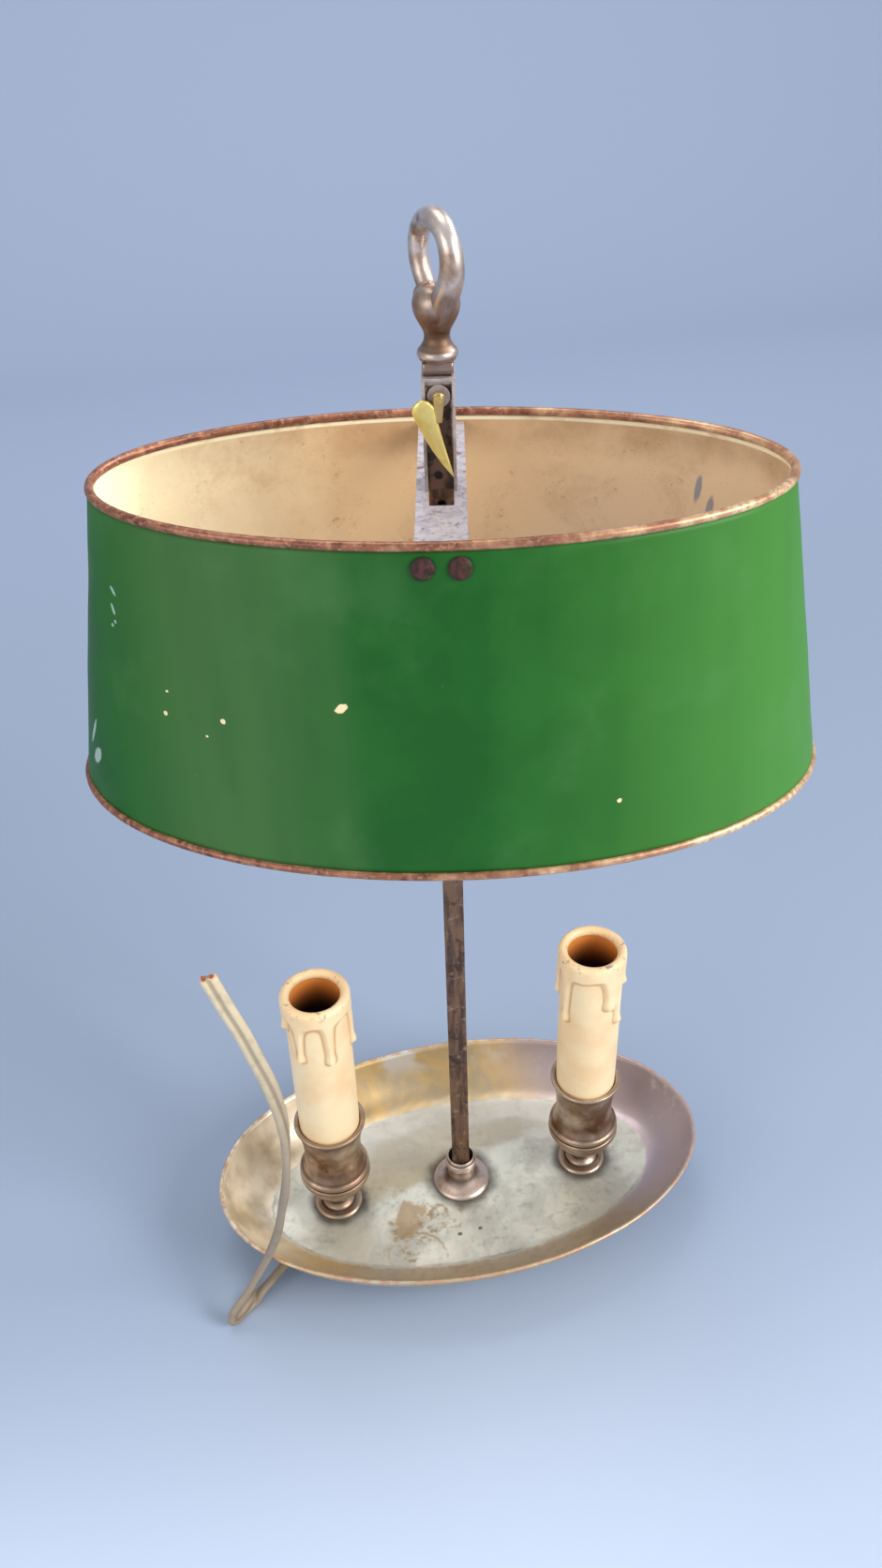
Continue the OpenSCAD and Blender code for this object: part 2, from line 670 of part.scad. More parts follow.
module shade_wire(drop) {
    inset = shade_sheet / 2;
    reach = flare_at(drop) - inset;
    color(rim_brown) turned_stem() oval_band(shade_top_l + reach, shade_top_w + reach,
        wire_profile(rim_r, shade_top_z - drop));
}

module shade_top_wire() {
    shade_wire(0);
}

module shade_bottom_wire() {
    shade_wire(shade_h);
}

// Slotted flat bar across the shade with its ends turned down against the wall
module crossbar() {
    color(zinc) turned_stem() difference() {
        union() {
            translate([-bar_w / 2, -bar_half + 0.4, bar_z]) cube([bar_w, 2 * bar_half - 0.8, bar_t]);
            at_bar_ends() translate([-bar_w / 2, 0, -bar_flange]) cube([bar_w, bar_t, bar_flange]);
        }
        translate([-bore / 2, -slot_l / 2, bar_z - 1]) cube([bore, slot_l, bar_t + 2]);
        at_rivets() translate([0, 0, -2]) cylinder(r = rivet_r + hole_gap, h = rivet_grip + 4);
    }
}

// Both ends of the crossbar, tipped to the slope of the shade wall
module at_bar_ends() {
    for (s = [0, 180]) rotate([0, 0, s]) translate([0, -bar_half, bar_top])
        rotate([-flare_angle, 0, 0]) children();
}

// The rivet axes, pointing outward from the inner face of the turned-down ends
module at_rivets() {
    at_bar_ends() for (x = [-rivet_x, rivet_x])
        translate([x, bar_t, -rivet_drop]) rotate([90, 0, 0]) children();
}

module crossbar_rivets() {
    color(dark_iron) turned_stem() at_rivets() {
        cylinder(r = rivet_r, h = rivet_grip);
        translate([0, 0, rivet_grip]) rotate_extrude() polygon([[0, 0], [rivet_head_r, 0],
            [rivet_head_r * 0.92, 0.8], [rivet_head_r * 0.62, 1.6], [0, 2]]);
        mirror([0, 0, 1]) cylinder(r = rivet_r + 0.25, h = 0.7);
    }
}

// Square sleeve that runs on the stem, with a raised edge and a screw boss
module clamp_sleeve() {
    half = clamp_side / 2;
    color(zinc) turned_stem() translate([0, 0, bar_top]) difference() {
        union() {
            translate([-half, -half, 0]) cube([clamp_side, clamp_side, clamp_h]);
            for (x = [-half, half - clamp_wall])
                translate([x, -half - frame_t, 0]) cube([clamp_wall, frame_t + 1, clamp_h]);
            translate([-half, -half - frame_t, clamp_h - clamp_wall])
                cube([clamp_side, frame_t + 1, clamp_wall]);
            translate([0, -half + 0.5, screw_h]) rotate([90, 0, 0])
                cylinder(r = boss_r, h = frame_t + 0.5);
        }
        translate([-bore / 2, -bore / 2, -1]) cube([bore, bore, clamp_h + 2]);
        translate([0, 0, screw_h]) rotate([90, 0, 0])
            cylinder(r = screw_r + run_gap, h = clamp_side);
    }
}

// Screw whose point presses on the stem and whose end carries the leaf grip
module thumb_screw() {
    tip = stem_side / 2 + run_gap / 2;
    color(brass) turned_stem() translate([0, -tip, screw_z]) rotate([90, 0, 0])
        cylinder(r = screw_r, h = leaf_y + leaf_t + 0.5 - tip);
}

// Leaf-shaped grip plate on a short stalk, round at its head and sharp at its tip
module leaf_grip() {
    hub_r = screw_r + 0.9;
    outline = concat(
        [for (i = [0 : 12]) let (a = 15 * i) [leaf_r * cos(a), leaf_r * sin(a)]],
        [[-leaf_r * 0.86, -leaf_point * 0.3], [-leaf_r * 0.55, -leaf_point * 0.65],
         [0, -leaf_point], [leaf_r * 0.55, -leaf_point * 0.65],
         [leaf_r * 0.86, -leaf_point * 0.3]]);
    color(brass) turned_stem() translate([0, -leaf_y, screw_z]) rotate([90, 0, 0])
        difference() {
            union() {
                cylinder(r = hub_r, h = leaf_t);
                linear_extrude(leaf_t) polygon([[-hub_r * 0.8, 0], [hub_r * 0.8, 0],
                    [hub_r * 0.4, -leaf_drop - 3], [-hub_r, -leaf_drop - 3]]);
                translate([-leaf_side, -leaf_drop, 0]) rotate([0, 0, leaf_tilt])
                    linear_extrude(leaf_t) polygon(outline);
            }
            translate([0, 0, -1]) cylinder(r = screw_r + 0.02, h = leaf_t + 2);
        }
}

tray();
feet();
stem_socket();
stem();
stem_washer();
stem_nut();
translate([-cup_x, 0, 0]) candle_cup();  // candle_cup_left
translate([cup_x, 0, 0]) candle_cup();  // candle_cup_right
cup_washers();
cup_nuts();
translate([-cup_x, 0, 0]) nipple();  // nipple_left
translate([cup_x, 0, 0]) nipple();  // nipple_right
translate([-cup_x, 0, 0]) lampholder();  // lampholder_left
translate([cup_x, 0, 0]) lampholder();  // lampholder_right
translate([-cup_x, 0, 0]) screw_shell();  // screw_shell_left
translate([cup_x, 0, 0]) screw_shell();  // screw_shell_right
translate([-cup_x, 0, 0]) centre_contact();  // centre_contact_left
translate([cup_x, 0, 0]) centre_contact();  // centre_contact_right
translate([-cup_x, 0, 0]) drip_sleeve(LEFT_DRIPS);  // drip_sleeve_left
translate([cup_x, 0, 0]) drip_sleeve(RIGHT_DRIPS);  // drip_sleeve_right
translate([-cup_x, 0, 0]) card_tube();  // card_tube_left
translate([cup_x, 0, 0]) card_tube();  // card_tube_right
inner_wire(-1);  // inner_wire_left
inner_wire(1);  // inner_wire_right
terminal_block();
terminal_screws();
cord_clip();
clip_screws();
cord();
finial_collar();
ring_handle();
shade_shell();
shade_top_wire();
shade_bottom_wire();
crossbar();
crossbar_rivets();
clamp_sleeve();
thumb_screw();
leaf_grip();
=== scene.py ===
"""Dresses the two-light oval table lamp: a dished tray on button feet, two candle cups
with drip sleeves, a square stem with a ring handle, and a painted oval shade.

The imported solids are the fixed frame. Each sub-assembly is a class that holds its sizes
in millimetres, builds its surfaces as whole numpy arrays and dresses them. The surfaces
are metres once they are in a mesh.
"""

import json
import logging
import math
from collections.abc import Sequence
from dataclasses import dataclass, field
from enum import Enum
from functools import reduce

import bmesh
import bpy
import numpy as np
from mathutils import Matrix, Vector


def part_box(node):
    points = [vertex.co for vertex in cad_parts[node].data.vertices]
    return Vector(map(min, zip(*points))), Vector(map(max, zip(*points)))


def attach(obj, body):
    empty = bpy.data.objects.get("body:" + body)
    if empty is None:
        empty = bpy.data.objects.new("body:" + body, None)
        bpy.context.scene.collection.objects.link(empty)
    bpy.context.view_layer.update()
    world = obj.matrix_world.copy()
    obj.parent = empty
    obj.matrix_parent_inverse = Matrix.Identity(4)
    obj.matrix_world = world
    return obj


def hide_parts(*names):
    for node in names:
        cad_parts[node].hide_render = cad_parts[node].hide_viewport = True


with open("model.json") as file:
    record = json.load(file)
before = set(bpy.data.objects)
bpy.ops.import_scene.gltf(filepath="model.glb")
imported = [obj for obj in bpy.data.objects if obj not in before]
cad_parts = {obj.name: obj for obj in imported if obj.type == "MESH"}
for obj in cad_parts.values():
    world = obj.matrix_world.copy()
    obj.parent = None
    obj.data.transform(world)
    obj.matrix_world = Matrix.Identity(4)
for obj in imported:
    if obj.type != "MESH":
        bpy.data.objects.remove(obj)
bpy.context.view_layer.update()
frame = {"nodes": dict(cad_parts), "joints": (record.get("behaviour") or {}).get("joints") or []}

LOG = logging.getLogger("lamp")
MM = 0.001
Array = np.ndarray
Piece = bpy.types.Object
Socket = bpy.types.NodeSocket
Feed = Socket | float | Sequence[float]


class Body(str, Enum):
    """The moving bodies of the frame."""

    BASE = "base"
    SHADE = "shade"
    CLAMP_KEY = "clamp_key"
    SLEEVE_LEFT = "sleeve_left"
    SLEEVE_RIGHT = "sleeve_right"


class Side(float, Enum):
    """Which of the two candles a piece belongs to, as the sign of its place."""

    LEFT = -1.0
    RIGHT = 1.0

    @property
    def word(self) -> str:
        """The side as a piece's name spells it."""
        return "left" if self is Side.LEFT else "right"

    @property
    def sleeve(self) -> Body:
        """The body of this side's drip sleeve."""
        return Body.SLEEVE_LEFT if self is Side.LEFT else Body.SLEEVE_RIGHT


# ---- measures taken from the frame -----------------------------------------------


@dataclass(frozen=True)
class Span:
    """The box of a solid of the frame, in millimetres.

    Args:
        low: Lowest corner.
        high: Highest corner.
    """

    low: Array
    high: Array

    @classmethod
    def of(cls, node: str) -> "Span":
        """Measures one solid of the frame."""
        low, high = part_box(node)
        return cls(np.array(low) / MM, np.array(high) / MM)

    @property
    def middle(self) -> Array:
        """The middle of the box."""
        return (self.low + self.high) / 2

    @property
    def size(self) -> Array:
        """The three sides of the box."""
        return self.high - self.low


def stem_turn() -> float:
    """Turn of the stem and the shade in the tray, from the axis of the clamp's screw."""
    axis = next(j["axis"] for j in frame["joints"] if j["name"] == "clamp_turn")
    return math.atan2(axis[0], -axis[1])


TURN = stem_turn()


def turned(points: Array, angle: float = TURN) -> Array:
    """Turns points about the upright axis.

    Args:
        points: Points in rows.
        angle: Turn in radians, anticlockwise from above.

    Returns:
        The turned points.
    """
    c, s = math.cos(angle), math.sin(angle)
    return points @ np.array([[c, s, 0], [-s, c, 0], [0, 0, 1]])


def oval_halves(node: str, angle: float = TURN) -> tuple[float, float]:
    """Half length and half width of a turned oval from its upright box.

    The box of an oval turned by t has half sides X and Y with X^2 = a^2 cos^2 t +
    b^2 sin^2 t and Y^2 = a^2 sin^2 t + b^2 cos^2 t, which is solved for a and b.

    Args:
        node: The solid whose box is read.
        angle: Turn of the oval.

    Returns:
        Half length a and half width b.
    """
    x, y = Span.of(node).size[:2] / 2
    c2, s2 = math.cos(angle) ** 2, math.sin(angle) ** 2
    a2 = (x * x * c2 - y * y * s2) / (c2 - s2)
    b2 = (y * y * c2 - x * x * s2) / (c2 - s2)
    return math.sqrt(a2), math.sqrt(b2)


# ---- surfaces as arrays ------------------------------------------------------------


def smooth(value: Array, low: float, high: float) -> Array:
    """A soft step from 0 at low to 1 at high, 3t^2 - 2t^3."""
    t = np.clip((value - low) / (high - low), 0.0, 1.0)
    return t * t * (3 - 2 * t)


def ripple(points: Array, length: float, seed: int, waves: int = 14) -> Array:
    """Gentle seeded unevenness: a sum of sine waves in random directions.

    Args:
        points: Points in rows, in millimetres.
        length: Mean wavelength in millimetres.
        seed: Seed of the directions and phases.
        waves: Number of waves that are added up.

    Returns:
        One value for each point, mostly between -1 and 1.
    """
    rng = np.random.default_rng(seed)
    ways = rng.normal(size=(waves, 3))
    ways /= np.linalg.norm(ways, axis=1, keepdims=True)
    ways *= (2 * np.pi / length) * rng.uniform(0.6, 1.6, (waves, 1))
    phases = rng.uniform(0, 2 * np.pi, waves)
    return np.sin(points @ ways.T + phases).sum(axis=1) * math.sqrt(2 / waves) * 0.6


def curve_through(points: Array, steps: int) -> Array:
    """A smooth curve through points, a Hermite curve with chord-long tangents.

    At each point the curve runs along the mean direction of its two chords, and each
    tangent is as long as the chord that it serves, so bulges don't overshoot.

    Args:
        points: Points in rows, with any number of columns; the first columns are places.
        steps: Steps from one point to the next.

    Returns:
        The points of the curve.
    """
    p = np.asarray(points, float)
    chord = np.diff(p, axis=0)
    size = np.linalg.norm(chord, axis=1, keepdims=True)
    way = chord / np.maximum(size, 1e-9)
    mean = np.vstack([way[:1], way[:-1] + way[1:], way[-1:]])
    mean /= np.maximum(np.linalg.norm(mean, axis=1, keepdims=True), 1e-9)
    t = np.linspace(0, 1, steps, endpoint=False)[None, :, None]
    start, end = p[:-1, None], p[1:, None]
    out, into = mean[:-1, None] * size[:, None], mean[1:, None] * size[:, None]
    h00, h10 = 2 * t**3 - 3 * t**2 + 1, t**3 - 2 * t**2 + t
    h01, h11 = -2 * t**3 + 3 * t**2, t**3 - t**2
    body = (h00 * start + h10 * out + h01 * end + h11 * into).reshape(-1, p.shape[1])
    return np.vstack([body, p[-1:]])


def grid_faces(rows: int, columns: int, wrap_columns: bool = True, wrap_rows: bool = False) -> Array:
    """Four-sided faces of a grid of points that is numbered row by row.

    Args:
        rows: Rows of points.
        columns: Points in a row.
        wrap_columns: Whether a row closes on itself.
        wrap_rows: Whether the last row joins the first.

    Returns:
        One face in each row.
    """
    r = np.arange(rows if wrap_rows else rows - 1)
    c = np.arange(columns if wrap_columns else columns - 1)
    rr, cc = (m.ravel() for m in np.meshgrid(r, c, indexing="ij"))
    r2, c2 = (rr + 1) % rows, (cc + 1) % columns
    return np.stack([rr * columns + cc, rr * columns + c2, r2 * columns + c2, r2 * columns + cc], axis=1)


@dataclass
class Surface:
    """Points, faces and painted values of one piece before it is a mesh.

    Args:
        points: Points in rows, in millimetres.
        faces: Faces in rows, four corners each.
        marks: Values painted on the points, by name.
        parts: Number of each face's finish, or None for one finish.
    """

    points: Array
    faces: Array
    marks: dict[str, Array] = field(default_factory=dict)
    parts: Array | None = None

    def turned_about_stem(self) -> "Surface":
        """The same surface turned with the stem."""
        return Surface(turned(self.points), self.faces, self.marks, self.parts)

    def joined(self, other: "Surface") -> "Surface":
        """This surface and another as one; both carry the same marks."""
        faces = np.vstack([self.faces, other.faces + len(self.points)])
        marks = {k: np.concatenate([v, other.marks[k]]) for k, v in self.marks.items()}
        parts = None if self.parts is None else np.concatenate([self.parts, other.parts])
        return Surface(np.vstack([self.points, other.points]), faces, marks, parts)


def hollows(profile: Array, reach: int = 3) -> Array:
    """How deep in a groove each point of a profile lies.

    The turn of the line from its points a few steps back to those a few steps on is
    positive in a groove, negative on a bead, and is scaled to lie between -1 and 1.

    Args:
        profile: Radius and height in rows, with the outside on the right of the way up.
        reach: Steps that are looked back and on.

    Returns:
        One value for each point.
    """
    padded = np.vstack([profile[:1]] * reach + [profile] + [profile[-1:]] * reach)
    back = padded[reach:-reach] - padded[: -2 * reach]
    on = padded[2 * reach :] - padded[reach:-reach]
    turn = back[:, 1] * on[:, 0] - back[:, 0] * on[:, 1]
    size = np.linalg.norm(back, axis=1) * np.linalg.norm(on, axis=1) + 1e-6
    bend = turn / size
    kernel = np.ones(5) / 5
    return np.clip(np.convolve(bend, kernel, mode="same") * 2.2, -1, 1)


def turned_form(
    profile: Array, around: int = 112, centre: Sequence[float] = (0, 0, 0), closed: bool = False
) -> Surface:
    """A lathe-turned surface: the profile's points go round the upright axis.

    Args:
        profile: Radius and height in rows, upwards on the outside.
        around: Points round the axis.
        centre: Place of the foot of the axis.
        closed: Whether the last row joins the first.

    Returns:
        The surface, with its grooves as the mark "hollow".
    """
    a = np.linspace(0, 2 * np.pi, around, endpoint=False)
    r, z = profile[:, 0:1], profile[:, 1:2]
    grid = np.stack([r * np.cos(a), r * np.sin(a), np.broadcast_to(z, (len(profile), around))], axis=-1)
    points = grid.reshape(-1, 3) + np.asarray(centre, float)
    faces = grid_faces(len(profile), around, wrap_rows=closed)
    return Surface(points, faces, {"hollow": np.repeat(hollows(profile), around)})


def oval_form(profile: Array, half_l: float, half_w: float, around: int) -> Surface:
    """A surface whose level sections are ovals.

    A profile row (q, z) is the oval with half sizes half_l + q and half_w + q at
    height z, so a positive q reaches outwards the same way all round.

    Args:
        profile: Reach and height in rows.
        half_l: Half length where the reach is nought.
        half_w: Half width where the reach is nought.
        around: Points round each oval.

    Returns:
        The surface.
    """
    a = np.linspace(0, 2 * np.pi, around, endpoint=False)
    q, z = profile[:, 0:1], profile[:, 1:2]
    shape = (len(profile), around)
    grid = np.stack(
        [(half_l + q) * np.cos(a), (half_w + q) * np.sin(a), np.broadcast_to(z, shape)], axis=-1
    )
    return Surface(grid.reshape(-1, 3), grid_faces(*shape))


def rod_form(path: Array, side: Array, section: Array, closed: bool = False) -> Surface:
    """A section carried along a path.

    Each section point (s, n) lies s along the side vector and n along the cross product
    of the path's direction with it.

    Args:
        path: Points of the centreline in rows.
        side: Direction of the section's first axis at each point.
        section: Section points, either one list for all or one list for each point.
        closed: Whether the path joins its own start.

    Returns:
        The surface, with open ends unless it is closed.
    """
    if closed:
        run = np.roll(path, -1, axis=0) - np.roll(path, 1, axis=0)
    else:
        run = np.gradient(path, axis=0)
    run /= np.linalg.norm(run, axis=1, keepdims=True)
    side = side - (side * run).sum(axis=1, keepdims=True) * run
    side /= np.linalg.norm(side, axis=1, keepdims=True)
    normal = np.cross(run, side)
    section = np.broadcast_to(section, (len(path), *section.shape[-2:]))
    points = path[:, None] + section[..., 0:1] * side[:, None] + section[..., 1:2] * normal[:, None]
    faces = grid_faces(len(path), section.shape[1], wrap_rows=closed)
    return Surface(points.reshape(-1, 3), faces)


def ring_section(half_s: float, half_n: float, count: int) -> Array:
    """An oval section of so many points."""
    a = np.linspace(0, 2 * np.pi, count, endpoint=False)
    return np.stack([half_s * np.cos(a), half_n * np.sin(a)], axis=1)


def oval_sections(half_s: Array, half_n: Array, count: int) -> Array:
    """One oval section for each point of a path, from its two half sizes there."""
    unit = ring_section(1, 1, count)
    return np.stack([unit[None, :, 0] * half_s[:, None], unit[None, :, 1] * half_n[:, None]], axis=-1)


def round_wall(radius: Array, height: Array, arc: Array, x: float) -> Surface:
    """A wall that closes on itself round an upright axis.

    Args:
        radius: Radius at each point, with a row for each level.
        height: Height at each point.
        arc: Angle of each column in radians.
        x: Place of the axis.

    Returns:
        The surface.
    """
    angle = np.broadcast_to(arc, radius.shape)
    points = np.stack([x + radius * np.cos(angle), radius * np.sin(angle), height], axis=-1)
    return Surface(points.reshape(-1, 3), grid_faces(*radius.shape, wrap_rows=True))


# ---- pieces as meshes ----------------------------------------------------------------


def fill_ends(mesh: bpy.types.Mesh) -> None:
    """Merges doubled points, closes every open end and points all faces outwards."""
    bm = bmesh.new()
    bm.from_mesh(mesh)
    bmesh.ops.remove_doubles(bm, verts=bm.verts, dist=1e-6)
    edges = [e for e in bm.edges if e.is_boundary]
    if edges:
        bmesh.ops.holes_fill(bm, edges=edges, sides=0)
    bmesh.ops.recalc_face_normals(bm, faces=bm.faces)
    bm.to_mesh(mesh)
    bm.free()


def shown(name: str, mesh: bpy.types.Mesh) -> bpy.types.Object:
    """A mesh as a smooth-shaded object in the scene."""
    mesh.polygons.foreach_set("use_smooth", np.ones(len(mesh.polygons), bool))
    made = bpy.data.objects.new(name, mesh)
    bpy.context.scene.collection.objects.link(made)
    return made


def make_piece(
    name: str,
    surface: Surface,
    body: Body,
    finishes: Sequence["Finish"],
    nodes: Sequence[str],
) -> Piece:
    """Turns a surface into a dressed piece that rides on its body.

    Args:
        name: Plain name of the piece.
        surface: The surface, in millimetres.
        body: The body that it moves with.
        finishes: Finishes in the order of the surface's parts.
        nodes: Solids of the frame that it stands for.

    Returns:
        The piece.
    """
    mesh = bpy.data.meshes.new(name)
    mesh.from_pydata((surface.points * MM).tolist(), [], surface.faces.tolist())
    for mark, values in surface.marks.items():
        layer = mesh.attributes.new(mark, "FLOAT", "POINT")
        layer.data.foreach_set("value", np.ascontiguousarray(values, np.float32))
    if surface.parts is not None:
        mesh.polygons.foreach_set("material_index", np.ascontiguousarray(surface.parts, np.int32))
    fill_ends(mesh)
    return settle(shown(name, mesh), body, finishes, nodes)


def settle(
    piece: Piece,
    body: Body,
    finishes: Sequence["Finish"],
    nodes: Sequence[str],
) -> Piece:
    """Gives a piece its finishes, its body and the solids that it stands for."""
    mesh = piece.data
    parts = np.zeros(len(mesh.polygons), np.int32)
    mesh.polygons.foreach_get("material_index", parts)
    mesh.materials.clear()
    for finish in finishes:
        mesh.materials.append(finish.material())
    mesh.polygons.foreach_set("material_index", parts % len(finishes))
    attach(piece, body.value)
    if nodes:
        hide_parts(*nodes)
    LOG.info("%s: %d faces on %s", piece.name, len(piece.data.polygons), body.value)
    return piece


def softened(
    node: str, name: str, body: Body, finish: "Finish", edge: float = 0.25
) -> Piece:
    """A copy of a machined solid whose sharp edges are broken, as handling leaves them.

    Args:
        node: The solid that is copied.
        name: Name of the new piece.
        body: The body that it moves with.
        finish: Its finish.
        edge: Width of the broken edge in millimetres.

    Returns:
        The piece.
    """
    mesh = frame["nodes"][node].data.copy()
    mesh.name = name
    bm = bmesh.new()
    bm.from_mesh(mesh)
    bmesh.ops.remove_doubles(bm, verts=bm.verts, dist=2e-6)
    bmesh.ops.dissolve_limit(bm, angle_limit=math.radians(1), verts=bm.verts, edges=bm.edges)
    bm.to_mesh(mesh)
    bm.free()
    piece = shown(name, mesh)
    bevel = piece.modifiers.new("broken edges", "BEVEL")
    bevel.width = edge * MM
    bevel.segments = 3
    bevel.limit_method = "ANGLE"
    bevel.angle_limit = math.radians(32)
    weighted = piece.modifiers.new("flat faces stay flat", "WEIGHTED_NORMAL")
    weighted.keep_sharp = True
    return settle(piece, body, [finish], [node])


# ---- finishes ---------------------------------------------------------------------------


def paint(red: int, green: int, blue: int) -> tuple[float, float, float, float]:
    """A colour as seen on a screen, 0 to 255, as linear light."""
    srgb = np.array([red, green, blue]) / 255
    linear = np.where(srgb <= 0.04045, srgb / 12.92, ((srgb + 0.055) / 1.055) ** 2.4)
    return (float(linear[0]), float(linear[1]), float(linear[2]), 1.0)


class Shader:
    """Short calls that build the nodes of one finish."""

    def __init__(self, name: str) -> None:
        """Starts an empty finish with a surface shader.

        Args:
            name: Name of the material.
        """
        self.made = bpy.data.materials.new(name)
        self.made.use_nodes = True
        self.tree = self.made.node_tree
        self.tree.nodes.clear()
        out = self.tree.nodes.new("ShaderNodeOutputMaterial")
        self.surface = self.tree.nodes.new("ShaderNodeBsdfPrincipled")
        self.tree.links.new(self.surface.outputs[0], out.inputs["Surface"])

    def plug(self, socket: Socket, value: Feed) -> None:
        """Feeds a socket with another socket or a plain value."""
        if isinstance(value, Socket):
            self.tree.links.new(value, socket)
        else:
            socket.default_value = value

    def set(self, **values: Feed) -> None:
        """Sets the surface shader's inputs, with underscores for blanks."""
        for name, value in values.items():
            self.plug(self.surface.inputs[name.replace("_", " ")], value)

    def place(
        self,
        scale: Sequence[float] = (1, 1, 1),
        shift: Sequence[float] = (0, 0, 0),
        turn: float = 0.0,
    ) -> Socket:
        """Object coordinates, moved by shift, turned about the upright axis and scaled.

        Args:
            scale: Scale along each axis, applied last.
            shift: Distance in metres, applied first.
            turn: Turn in radians.

        Returns:
            The coordinates.
        """
        coords = self.tree.nodes.new("ShaderNodeTexCoord").outputs["Object"]
        moved = self.tree.nodes.new("ShaderNodeMapping")
        moved.inputs["Location"].default_value = shift
        self.plug(moved.inputs["Vector"], coords)
        bent = self.tree.nodes.new("ShaderNodeMapping")
        bent.inputs["Rotation"].default_value = (0, 0, turn)
        self.plug(bent.inputs["Vector"], moved.outputs[0])
        sized = self.tree.nodes.new("ShaderNodeMapping")
        sized.inputs["Scale"].default_value = scale
        self.plug(sized.inputs["Vector"], bent.outputs[0])
        return sized.outputs[0]

    def noise(
        self, scale: float, detail: float = 4, rough: float = 0.55, at: Feed | None = None, warp: float = 0
    ) -> Socket:
        """Cloudy noise from 0 to 1."""
        node = self.tree.nodes.new("ShaderNodeTexNoise")
        self.plug(node.inputs["Vector"], self.place() if at is None else at)
        node.inputs["Scale"].default_value = scale
        node.inputs["Detail"].default_value = detail
        node.inputs["Roughness"].default_value = rough
        node.inputs["Distortion"].default_value = warp
        return node.outputs["Fac"]

    def cells(self, scale: float) -> Socket:
        """Distance to the nearest of a scatter of points, for specks and pits."""
        node = self.tree.nodes.new("ShaderNodeTexVoronoi")
        self.plug(node.inputs["Vector"], self.place())
        node.inputs["Scale"].default_value = scale
        return node.outputs["Distance"]

    def fade(
        self, value: Feed, low: float, high: float, first: float = 0, last: float = 1
    ) -> Socket:
        """A soft step: first where the value is at low, last at high; low may be the greater."""
        node = self.tree.nodes.new("ShaderNodeMapRange")
        node.interpolation_type = "SMOOTHSTEP"
        self.plug(node.inputs["Value"], value)
        for name, number in (("From Min", low), ("From Max", high), ("To Min", first), ("To Max", last)):
            node.inputs[name].default_value = number
        return node.outputs[0]

    def maths(self, way: str, first: Feed, second: Feed = 0.0) -> Socket:
        """One step of arithmetic, named as the maths node names it."""
        node = self.tree.nodes.new("ShaderNodeMath")
        node.operation = way
        self.plug(node.inputs[0], first)
        self.plug(node.inputs[1], second)
        return node.outputs[0]

    def times(self, first: Feed, second: Feed) -> Socket:
        """The product of two values."""
        return self.maths("MULTIPLY", first, second)

    def plus(self, first: Feed, second: Feed) -> Socket:
        """The sum of two values."""
        return self.maths("ADD", first, second)

    def minus(self, first: Feed, second: Feed) -> Socket:
        """The first value less the second."""
        return self.maths("SUBTRACT", first, second)

    def most(self, first: Feed, second: Feed) -> Socket:
        """The greater of two values."""
        return self.maths("MAXIMUM", first, second)

    def unsigned(self, value: Feed) -> Socket:
        """A value without its sign."""
        return self.maths("ABSOLUTE", value)

    def mix(self, amount: Feed, first: Feed, second: Feed) -> Socket:
        """One colour over another."""
        node = self.tree.nodes.new("ShaderNodeMix")
        node.data_type = "RGBA"
        self.plug(node.inputs[0], amount)
        self.plug(node.inputs[6], first)
        self.plug(node.inputs[7], second)
        return node.outputs[2]

    def spot(
        self,
        centre: Sequence[float],
        radii: Sequence[float],
        turn: float = 0.0,
        wander: float = 0.25,
        grain: float = 160,
        edge: float = 0.25,
    ) -> Socket:
        """A blot with an uneven edge: 1 inside, 0 outside.

        Args:
            centre: Middle of the blot in millimetres.
            radii: Half sizes in millimetres; nought leaves that axis out.
            turn: Turn of the blot in radians.
            wander: How far its edge wanders, as a share of its size.
            grain: Scale of the wandering.
            edge: Softness of the edge, as a share of its size.

        Returns:
            The blot's strength.
        """
        scale = [0.0 if r == 0 else 1 / (r * MM) for r in radii]
        at = self.place(scale, [-c * MM for c in centre], turn)
        node = self.tree.nodes.new("ShaderNodeVectorMath")
        node.operation = "LENGTH"
        self.plug(node.inputs[0], at)
        uneven = self.times(self.minus(self.noise(grain, 3), 0.5), 2 * wander)
        reach = self.plus(node.outputs["Value"], uneven)
        return self.fade(reach, 1 + edge, 1 - edge)

    def mark(self, name: str) -> Socket:
        """A value painted on the mesh."""
        node = self.tree.nodes.new("ShaderNodeAttribute")
        node.attribute_name = name
        return node.outputs["Fac"]

    def along(self, axis: str, turn: float = 0.0) -> Socket:
        """One object coordinate in metres, after a turn about the upright axis."""
        node = self.tree.nodes.new("ShaderNodeSeparateXYZ")
        self.plug(node.inputs[0], self.place(turn=turn))
        return node.outputs[axis]

    def relief(self, height: Feed, depth: float, strength: float = 1.0) -> None:
        """Fine relief in the surface, with its depth in millimetres."""
        node = self.tree.nodes.new("ShaderNodeBump")
        node.inputs["Distance"].default_value = depth * MM
        node.inputs["Strength"].default_value = strength
        self.plug(node.inputs["Height"], height)
        self.plug(self.surface.inputs["Normal"], node.outputs[0])


@dataclass(frozen=True)
class Finish:
    """A finish that is built once and shared by its pieces."""

    name: str = "finish"

    def material(self) -> bpy.types.Material:
        """The finish as a material."""
        found = bpy.data.materials.get(self.name)
        if found is None:
            shader = Shader(self.name)
            self.dress(shader)
            found = shader.made
        return found

    def dress(self, s: Shader) -> None:
        """Fills the shader in."""
        raise NotImplementedError


